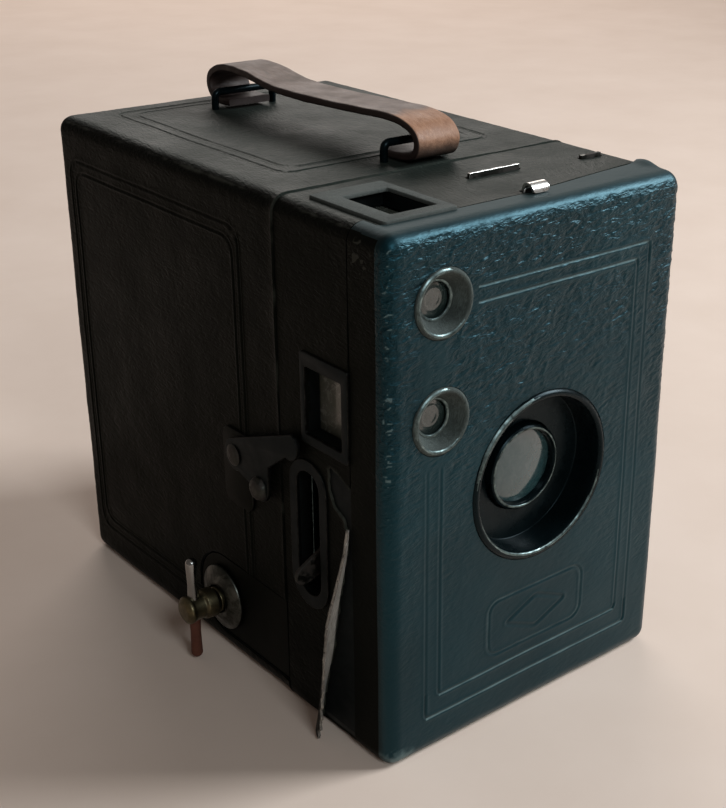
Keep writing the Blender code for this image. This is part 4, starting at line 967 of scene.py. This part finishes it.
def build_strap():
    """A leather band of rounded section swept along the strap's path, wavy and worn along its edges."""
    low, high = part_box("strap")
    half_wide, half_thick = (high.x - low.x) / 2, 0.8 * MM
    centre = (high.x + low.x) / 2
    across = [half_wide * (1 - 0.25 * MM / half_wide) * u for u in np.linspace(-1, 1, 25)]
    section = [(u, half_thick) for u in across]
    section += [(half_wide, half_thick * v) for v in (0.75, 0.4, 0, -0.4, -0.75)]
    section += [(u, -half_thick) for u in reversed(across)]
    section += [(-half_wide, half_thick * v) for v in (-0.75, -0.4, 0, 0.4, 0.75)]
    path = smooth_path([(y * MM, z * MM) for y, z in STRAP_PATH], 10)
    bm = bmesh.new()
    dark_edges_and_tail_shade = bm.verts.layers.float.new("edge")
    bend_layer = bm.verts.layers.float.new("bend")
    rows = []
    for i, at in enumerate(path):
        along = heading(path, i)
        up = np.array((along[1], -along[0]))
        share = i / (len(path) - 1)
        sway = 0.25 * MM * math.sin(9 * share + 0.6) * math.sin(math.pi * share)
        row = []
        for u, v in section:
            spot = np.array([[u, at[0], at[1]]])
            lift = 0.12 * MM * smooth_noise(spot, 4 * MM, 61)[0]
            lift += 0.05 * MM * smooth_noise(spot, 1.2 * MM, 62)[0]
            edge = abs(u) / half_wide
            nick = 0.25 * MM * smooth_noise(spot, 3 * MM, 63)[0] * (edge > 0.9)
            out = v + lift * math.copysign(1, v) * 0.6
            y, z = at[0] + up[0] * out, at[1] + up[1] * out
            vert = bm.verts.new((centre + (u - math.copysign(abs(nick), u)) * 0.985 + sway, y, z))
            # Darker along the dyed edges and on the underside; the tucked tails are darkened as painted
            # shade.
            shaded_tail = max(smooth_bump(share, 0.02, 0.11), smooth_bump(share, 0.99, 0.14))
            vert[dark_edges_and_tail_shade] = max(1.4 if edge > 0.995 else edge**12, 0.8 if v < 0 else 0, 1.5 * shaded_tail)
            vert[bend_layer] = 1.25 * smooth_bump(share, 0.765, 0.075)
            row.append(vert)
        rows.append(row)
    bar(bm, rows)
    bmesh.ops.remove_doubles(bm, verts=bm.verts, dist=1e-6)
    bmesh.ops.recalc_face_normals(bm, faces=bm.faces)
    piece("strap_leather", finished(bm, "strap_leather", 60), STRAP_LEATHER, "camera_back",
          ["strap"])


def smooth_bump(value, centre, width):
    return math.exp(-(((value - centre) / width) ** 2))


def build_lugs():
    """Wire staples over the strap's tucked ends."""
    for node in ("strap_lug_back", "strap_lug_front"):
        low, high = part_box(node)
        radius = 0.9 * MM
        y = (low.y + high.y) / 2
        x0, x1, z0, z1 = low.x + radius, high.x - radius, low.z, high.z - radius
        corners = [(x0, z0), (x0, z1), (x1, z1), (x1, z0)]
        path = softened(corners, 1.6 * MM, closed=False, steps=8)
        bm = bmesh.new()
        rows = []
        for i, (x, z) in enumerate(path):
            along = heading(path, i)
            side = Vector((along[0], 0, along[1])).cross(Y_AXIS)
            turns = [2 * math.pi * k / 16 for k in range(16)]
            spokes = [(side * math.cos(a) + Y_AXIS * math.sin(a)) * radius for a in turns]
            rows.append([bm.verts.new(Vector((x, y, z)) + spoke) for spoke in spokes])
        bar(bm, rows)
        bmesh.ops.recalc_face_normals(bm, faces=bm.faces)
        piece(node + "_wire", finished(bm, node), LACQUER, "camera_back", [node])


def turned_piece(name, profile, place, axis, looks, nodes, steps=96, closed=True, corner=0.12):
    body = BODY_OF[nodes[0]]
    profile = softened(profile, corner, closed, 3)
    return piece(name, turned_mesh(name, profile, place, axis, steps, closed), looks, body, nodes)


def crest_wear_and_highlight(obj, centre, radius, reach, sectors):
    """Gives the second material to a ring's front faces near a radius, along tapered sectors in degrees, as
    worn metal and, in sectors set by the light, painted highlights.
    """
    front = min(vert.co.y for vert in obj.data.vertices)
    for face in obj.data.polygons:
        right, up = face.center.x - centre.x, face.center.z - centre.z
        off = abs(math.hypot(right, up) - radius)
        if off > reach or face.center.y > front + 0.45 * MM:
            continue
        angle = math.degrees(math.atan2(up, right)) % 360
        for start, end in sectors:
            along = (angle - start) / (end - start)
            if 0 < along < 1 and off < reach * math.sin(math.pi * along) ** 0.6:
                face.material_index = 1


def build_lens():
    at = Vector((LENS.x, FRONT_Y, LENS.z))
    well = [(18.5, 0.95), (19.25, 0.35), (19.2, -0.4), (18.8, -0.6), (18.8, -7.2), (10.0, -7.2), (10.0, -6.2),
            (17.2, -6.2), (17.45, 0.1), (17.8, 0.8)]
    ring = turned_piece("lens_well_ring", well, at, -Y_AXIS, [LACQUER, WORN_AND_HIGHLIT_EDGE],
                        ["lens_well"], 144, True, 0.3)
    # Painted highlights: the rim's upper left crest and its lower inner edge.
    crest_wear_and_highlight(ring, LENS, 18.7 * MM, 0.45 * MM, [(95, 172)])
    crest_wear_and_highlight(ring, LENS, 17.9 * MM, 0.3 * MM, [(188, 352)])
    barrel = [(9.2, -4.3), (9.7, -4.7), (9.7, -7.5), (12.0, -7.5), (12.0, -8.8), (6.8, -8.8), (6.8, -7.5),
              (8.5, -7.5), (8.5, -4.9), (8.8, -4.3)]
    ring = turned_piece("lens_barrel_ring", barrel, at, -Y_AXIS, [LACQUER, WORN_AND_HIGHLIT_EDGE],
                        ["lens_barrel"], 96)
    crest_wear_and_highlight(ring, LENS, 9.0 * MM, 0.3 * MM, [(0, 360)])
    glass = [(8.4 * k / 16, -5.2 - 0.95 * (k / 16) ** 2) for k in range(17)] + [(8.4, -7.2), (0, -7.2)]
    mesh = turned_mesh("lens_front", glass, at, -Y_AXIS, 96, closed=False)
    piece("lens_front", mesh, LENS_GLASS, "camera_front", ["lens_glass"])


def build_finders():
    ring = [(6.55, 0.95), (7.15, 0.45), (7.1, -0.4), (6.9, -0.6), (6.9, -2.9), (4.1, -2.9), (4.1, -2.4),
            (5.7, 0.1), (6.0, 0.75)]
    for name, centre in FINDERS.items():
        at = Vector((centre.x, FRONT_Y, centre.z))
        label = "finder_ring_" + name
        made = turned_piece(label + "_bezel", ring, at, -Y_AXIS, [FINDER_CONE, WORN_AND_HIGHLIT_EDGE],
                            [label], 80, True, 0.25)
        # Painted highlights: the bezel's upper left crest and a thin lower inner edge.
        crest_wear_and_highlight(made, centre, 6.7 * MM, 0.5 * MM, [(75, 200)])
        crest_wear_and_highlight(made, centre, 6.2 * MM, 0.35 * MM, [(200, 320)])
        stop = [(4.15, -2.15), (4.15, -2.5), (3.55, -2.6), (3.7, -2.3)]
        turned_piece("finder_stop_" + name, stop, at, -Y_AXIS, WORN_AND_HIGHLIT_EDGE, [label], 64,
                     corner=0.08)
        dome = [(5.5 * k / 24, -3.0 - 0.8 * (k / 24) ** 2) for k in range(25)]
        glass = [(r, h + 0.1 * smooth_bump(r, 2.2, 0.25)) for r, h in dome] + [(5.5, -4.9), (0, -4.9)]
        label = "finder_lens_" + name
        mesh = turned_mesh(label, glass, at, -Y_AXIS, 64, closed=False)
        piece(label + "_glass", mesh, FINDER_GLASS, "camera_front", [label])


def build_finder_frames():
    """Pressed frames round each finder's window, as flat plates with rounded edges."""
    for node, facing, face in (("finder_top_frame", "Z", TOP_FACE), ("finder_side_frame", "X", LEFT_FACE)):
        low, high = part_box(node)
        axis = face[0]
        level = high[axis] if face[1] > 0 else low[axis]
        across = axes_across(axis)
        glass_low, glass_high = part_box(node.replace("frame", "glass"))
        low_corner = [glass_low[a] + 1.4 * MM for a in across]
        high_corner = [glass_high[a] - 1.4 * MM for a in across]
        if facing == "Z":
            # The top window lies nearer the front than the hole in the CAD frame.
            low_corner[1] -= 1.5 * MM
            high_corner[1] -= 1.5 * MM
        window = rectangle(low_corner, high_corner, 0.5 * MM)
        outlines = [window_outline(node, face, 0), window]
        thick = 0.9 * MM
        middle_level = level - face[1] * thick / 2
        mesh = plate_mesh(node + "_plate", outlines, thick, middle_level, facing, 0.25 * MM)
        looks = [DULL_EDGE, DULL_EDGE] if facing == "Z" else [BARE, DARK_EDGE]
        piece(node + "_plate", mesh, looks, "camera_front", [node])


def build_latches():
    """A stamped hook, its knob, its rivet and base plate on each side, and the stud that it hooks over."""
    for name in ("left", "right"):
        side = -1 if name == "left" else 1
        hook = "latch_hook_" + name
        rivet = middle("latch_rivet_" + name)
        stud = middle("latch_stud_" + name)
        y, z, tip_y, tip_z = rivet.y, rivet.z, stud.y, stud.z
        knob_y, knob_z = y - 9.6 * MM, z - 4.4 * MM
        edge = (
            arc(y, z, 3.8 * MM, -110, 70)
            + arc(tip_y, tip_z, 3.2 * MM, 110, 290)
            + [(y - 13.1 * MM, z + 1.7 * MM)]
            + arc(knob_y, knob_z, 3.1 * MM, 180, 350)
        )
        outer = LEFT if side < 0 else RIGHT
        level = outer + side * 1.8 * MM
        mesh = plate_mesh(hook, [edge, circle(y, z, 1.8 * MM, 32)], 1.0 * MM, level, "X", 0.22 * MM)
        piece(hook + "_stamping", mesh, [BARE, DARK_EDGE], BODY_OF[hook], [hook])
        knob = [(0, 1.95), (1.3, 1.85), (2.3, 1.35), (2.7, 0.6), (2.7, 0.0), (0, 0.0)]
        at = Vector((outer + side * 2.1 * MM, knob_y, knob_z))
        outwards = X_AXIS * side
        mesh = turned_mesh("latch_knob_" + name, softened(knob, 0.25, False), at, outwards, 40, closed=False)
        piece("latch_knob_" + name, mesh, DULL_NICKEL, BODY_OF[hook])
        head = [(0, 3.1), (1.2, 3.05), (2.1, 2.85), (2.5, 2.6), (1.5, 2.6), (1.5, 1.3), (0, 1.3)]
        node = "latch_rivet_" + name
        mesh = turned_mesh(node + "_head", head, Vector((outer, y, z)), outwards, 40, closed=False)
        piece(node + "_head", mesh, DULL_NICKEL, "camera_back", [node])
        plate = "latch_plate_" + name
        low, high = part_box(plate)
        mesh = plate_mesh(plate, [rectangle((low.y, low.z), (high.y, high.z), 2.5 * MM)], high.x - low.x,
                          (low.x + high.x) / 2, "X", 0.2 * MM)
        piece(plate + "_stamping", mesh, [BODY_LEATHER, DARK_EDGE], "camera_back", [plate])
        refined("latch_stud_" + name, [DULL_NICKEL], 0.2 * MM)


def build_flap():
    """The side's leather peeled back along its tear: fibrous inner side to the front, leather behind."""
    rows = [  # (height, y of the glued edge, how far out the free edge stands, y of the free edge) in mm
        (53, -51.6, 0.5, -52.2), (46, -50.6, 1.5, -51.6), (38, -48.6, 2.7, -50.2), (30, -46.9, 3.6, -48.6),
        (21, -45.2, 4.0, -47.8), (12, -42.6, 4.3, -47.5), (5, -41.0, 4.5, -47.0), (0.6, -40.0, 4.3, -45.6),
    ]
    steps = 14
    bm = bmesh.new()
    grid = []
    for height, glued, out, free in smooth_path(rows, 12):
        ragged = 1 + 0.1 * math.sin(height * 2.1) + 0.07 * math.sin(height * 5.3)
        row = []
        for k in range(steps + 1):
            t = k / steps * (0.93 * ragged if k > steps - 3 else 1)
            bulge = 0.7 * math.sin(math.pi * min(t, 1)) * out / 4.5
            spot = np.array([[k * 0.5, glued, height]])
            ripple = 0.18 * smooth_noise(spot, 3.0, 71)[0]
            x = LEFT - (0.75 + out * t + bulge) * MM
            row.append(bm.verts.new((x, (glued + (free - glued) * t + ripple * t) * MM, height * MM)))
        grid.append(row)
    bridge(bm, grid, closed=False)
    bmesh.ops.recalc_face_normals(bm, faces=bm.faces)
    bm.normal_update()
    if sum(face.normal.y for face in bm.faces) > 0:
        bmesh.ops.reverse_faces(bm, faces=bm.faces)
    flap = piece("peeled_leather", finished(bm, "peeled_leather", 70), [FIBRE, BODY_LEATHER, CARD],
                 "camera_front", ["leather_flap"])
    solid = flap.modifiers.new("thickness", "SOLIDIFY")
    solid.thickness = 0.6 * MM
    solid.offset = 0
    solid.material_offset = 1
    solid.material_offset_rim = 2


def sheet_strip(name, path, low_x, high_x, thick, corner):
    """A bent metal strip: a side-on path of (y, z) with a width along x, rounded at its free end."""
    bm = bmesh.new()
    rows = []
    length = [0.0]
    for a, b in zip(path, path[1:]):
        length.append(length[-1] + float(np.linalg.norm(b - a)))
    for i, at in enumerate(path):
        left = length[-1] - length[i]
        draw = corner - math.sqrt(max(corner**2 - (corner - min(left, corner)) ** 2, 0)) if corner else 0
        along = heading(path, i)
        normal = np.array((along[1], -along[0])) * thick / 2
        row = []
        for u, side in ((0, 1), (1, 1), (1, -1), (0, -1)):
            x = low_x + draw if u == 0 else high_x - draw
            row.append(bm.verts.new((x, at[0] + side * normal[0], at[1] + side * normal[1])))
        rows.append(row)
    bar(bm, rows)
    bmesh.ops.recalc_face_normals(bm, faces=bm.faces)
    return finished(bm, name, 50)


def build_slides():
    """The stop, time and close-up slides, with the tabs that the fingers pull."""
    # Bright nickel on the aperture and time tabs' rounded edges over dull nickel faces: polished by use with
    # a painted highlight on the edges, and painted shade on the faces.
    edges = {"aperture_slide": NICKEL, "time_slide": NICKEL, "close_up_slide": DARK_EDGE}
    for node, edge in edges.items():
        refined(node, [DULL_NICKEL, edge], 0.33 * MM)
    low, high = tab_box("time_slide")
    y = (low.y + high.y) / 2
    top = high.z
    hook = smooth_path([(y, top - 1.2 * MM), (y, top - 0.4 * MM), (y - 0.5 * MM, top + 0.5 * MM),
                        (y - 1.6 * MM, top + 0.8 * MM), (y - 2.6 * MM, top + 0.2 * MM),
                        (y - 2.9 * MM, top - 0.8 * MM)], 6)
    mesh = sheet_strip("time_slide_hook", hook, low.x, high.x, 0.55 * MM, 0.9 * MM)
    piece("time_slide_hook", mesh, NICKEL, "time_setting")


def build_key():
    """The winding key: knurled sleeve, hub and cross bar, in a stepped escutcheon on its leather plate."""
    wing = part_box("key_wing")
    at = Vector((LEFT, middle("key_wing").y, middle("key_wing").z))
    ring = [(4.6, 2.4), (6.2, 1.75), (8.0, 1.0), (8.0, 0.3), (3.5, 0.3), (3.5, 2.4)]
    turned_piece("key_escutcheon_cup", ring, at, -X_AXIS, OLD_NICKEL, ["key_escutcheon"], 72,
                 corner=0.35)
    hub = [(0, 11.5), (2.2, 11.4), (3.3, 10.7), (3.4, 9.9), (3.0, 9.5), (3.0, 6.6), (3.5, 6.2), (3.6, 3.6),
           (0, 3.6)]
    turned_piece("key_hub", hub, at, -X_AXIS, BRASS, ["key_wing"], 64, False, 0.3)
    reach = (wing[1].z - wing[0].z) / 2
    radius = 1.4
    cross = [(0, reach / MM)]
    end = reach / MM - radius
    cross += [(radius * math.sin(a), end + radius * math.cos(a)) for a in (0.5, 0.9, 1.25, 1.57)]
    cross += [(1.2, 6.0), (1.35, 3.5)]
    cross += [(r, -h) for r, h in reversed(cross)]
    mesh = turned_mesh("key_bar", cross, at - X_AXIS * 8.5 * MM, Z_AXIS, 32, closed=False)
    piece("key_cross_bar", mesh, KEY_BAR, "key")


def build_windows_and_bushes():
    at = Vector((0, BACK_Y, middle("red_window").z))
    ring = [(8.4, 1.0), (8.9, 0.4), (6.9, 0.3), (6.9, -1.2), (6.0, -1.2), (6.0, 0.5), (6.5, 1.0)]
    turned_piece("red_window_bezel", ring, at, Y_AXIS, NICKEL, ["red_window_ring"], 72, True, 0.3)
    pane = [(5.7 * k / 6, -0.1 - 0.1 * (k / 6) ** 2) for k in range(7)] + [(5.7, -1.2), (0, -1.2)]
    mesh = turned_mesh("red_pane", pane, at, Y_AXIS, 48, closed=False)
    piece("red_pane", mesh, RED_GLASS, "camera_back", ["red_window"])
    thread = [(3.2 + 0.25 * (k % 2), -0.5 - 0.16 * k) for k in range(12)]
    ring = [(6.5, 0.1), (6.5, -2.5), (3.2, -2.5)] + thread[::-1] + [(3.4, 0.1)]
    for node, axis in (("tripod_bush_bottom", -Z_AXIS), ("tripod_bush_side", X_AXIS)):
        centre = middle(node)
        at = Vector((centre.x, centre.y, 0)) if axis.z else Vector((RIGHT, centre.y, centre.z))
        turned_piece(node + "_threaded", ring, at, axis, DULL_NICKEL, [node], 48, True, 0.08)


def build_inner_works():
    """Everything inside, and the small outer pieces whose shape only needs rounded edges."""
    for node in ("rear_shell", "front_body", "front_panel"):
        # The CAD piece itself shows where there is no leather.
        cad = frame["nodes"][node]
        cad.data.materials.clear()
        cad.data.materials.append(BARE)
    plans = (
        ("lever_escutcheon", [BARE, DARK_EDGE], "black_lacquer", 0.2),
        ("shutter_lever", [DULL_NICKEL], "nickel", 0.2),
        ("key_plate", [BODY_LEATHER], "body_leather", 0.3),
        ("key_sleeve", [BRASS], "worn_brass", 0.2),
        ("key_shaft", [DULL_NICKEL], "nickel", 0.15),
        ("finder_top_glass finder_side_glass", [PANE], "lens_glass", 0.1),
        ("finder_mirror_top finder_mirror_side", [MIRROR], "mirror", 0.1),
        ("shutter_plate", [LACQUER], "black_lacquer", 0.12),
        ("shutter_disc", [LACQUER], "black_lacquer", 0.1),
        ("close_up_lens", [LENS_GLASS], "lens_glass", 0.05),
        ("light_cone", [LACQUER], "black_lacquer", 0.12),
        ("insert_plate_left insert_plate_right film_gate", [LACQUER, WORN_AND_HIGHLIT_EDGE], "black_lacquer", 0.15),
        ("film_roller_bottom film_roller_top", [NICKEL], "nickel", 0.15),
        ("supply_spool takeup_spool", [WOOD], "spool_wood", 0.15),
        ("spool_pin_supply_left spool_pin_supply_right spool_pin_takeup", [NICKEL], "nickel", 0.15),
        ("spool_spring_supply spool_spring_takeup", [NICKEL], "nickel", 0.08),
    )
    for nodes, looks, slot, width in plans:
        for node in nodes.split():
            refined(node, looks, width * MM)


# Setting


def build_floor():
    bm = bmesh.new()
    bmesh.ops.create_grid(bm, x_segments=8, y_segments=8, size=4.0)
    floor = bpy.data.objects.new("table", finished(bm, "table"))
    bpy.context.scene.collection.objects.link(floor)
    floor.data.materials.append(floor_look())


def area_light(name, place, target, size, power, colour):
    data = bpy.data.lights.new(name, "AREA")
    data.shape = "RECTANGLE"
    data.size, data.size_y = size
    data.energy = power
    data.color = colour
    obj = bpy.data.objects.new(name, data)
    obj.location = place
    obj.rotation_euler = (Vector(target) - Vector(place)).to_track_quat("-Z", "Y").to_euler()
    bpy.context.scene.collection.objects.link(obj)


def build_lights():
    world = bpy.data.worlds.new("room")
    world.use_nodes = True
    background = world.node_tree.nodes["Background"]
    background.inputs["Color"].default_value = (0.92, 0.80, 0.72, 1)
    background.inputs["Strength"].default_value = 0.15
    bpy.context.scene.world = world
    area_light("window", (0.75, -0.45, 0.68), (0, -0.02, 0.06), (0.4, 0.4), 12.0, (0.92, 0.97, 1.0))
    area_light("front", (-0.25, -0.95, 0.75), (0, -0.02, 0.06), (0.32, 0.32), 3.6, (0.88, 0.96, 1.0))
    area_light("back", (0.75, 1.15, 0.75), (0.1, 0.3, 0), (1.0, 0.7), 7.6, (1.0, 0.93, 0.88))


def build_camera():
    data = bpy.data.cameras.new("view")
    data.lens = 62.359
    data.sensor_width = 36
    data.shift_x = -0.1352
    data.shift_y = 0.0012
    camera = bpy.data.objects.new("view", data)
    camera.location = (-0.18755, -0.25103, 0.18933)
    camera.rotation_euler = [math.radians(angle) for angle in (66.2449, -1.14662, -41.49734)]
    bpy.context.scene.collection.objects.link(camera)
    bpy.context.scene.camera = camera


build_camera()
build_lights()
build_floor()
build_front_skin([FRONT_LEATHER_PAINTED_TEAL, BODY_LEATHER])
build_band_skin(BODY_LEATHER)
build_shell_skin(BODY_LEATHER)
build_strap()
build_lugs()
build_lens()
build_finders()
build_finder_frames()
build_latches()
build_flap()
build_slides()
build_key()
build_windows_and_bushes()
build_inner_works()

bpy.context.scene.view_settings.view_transform = "Standard"
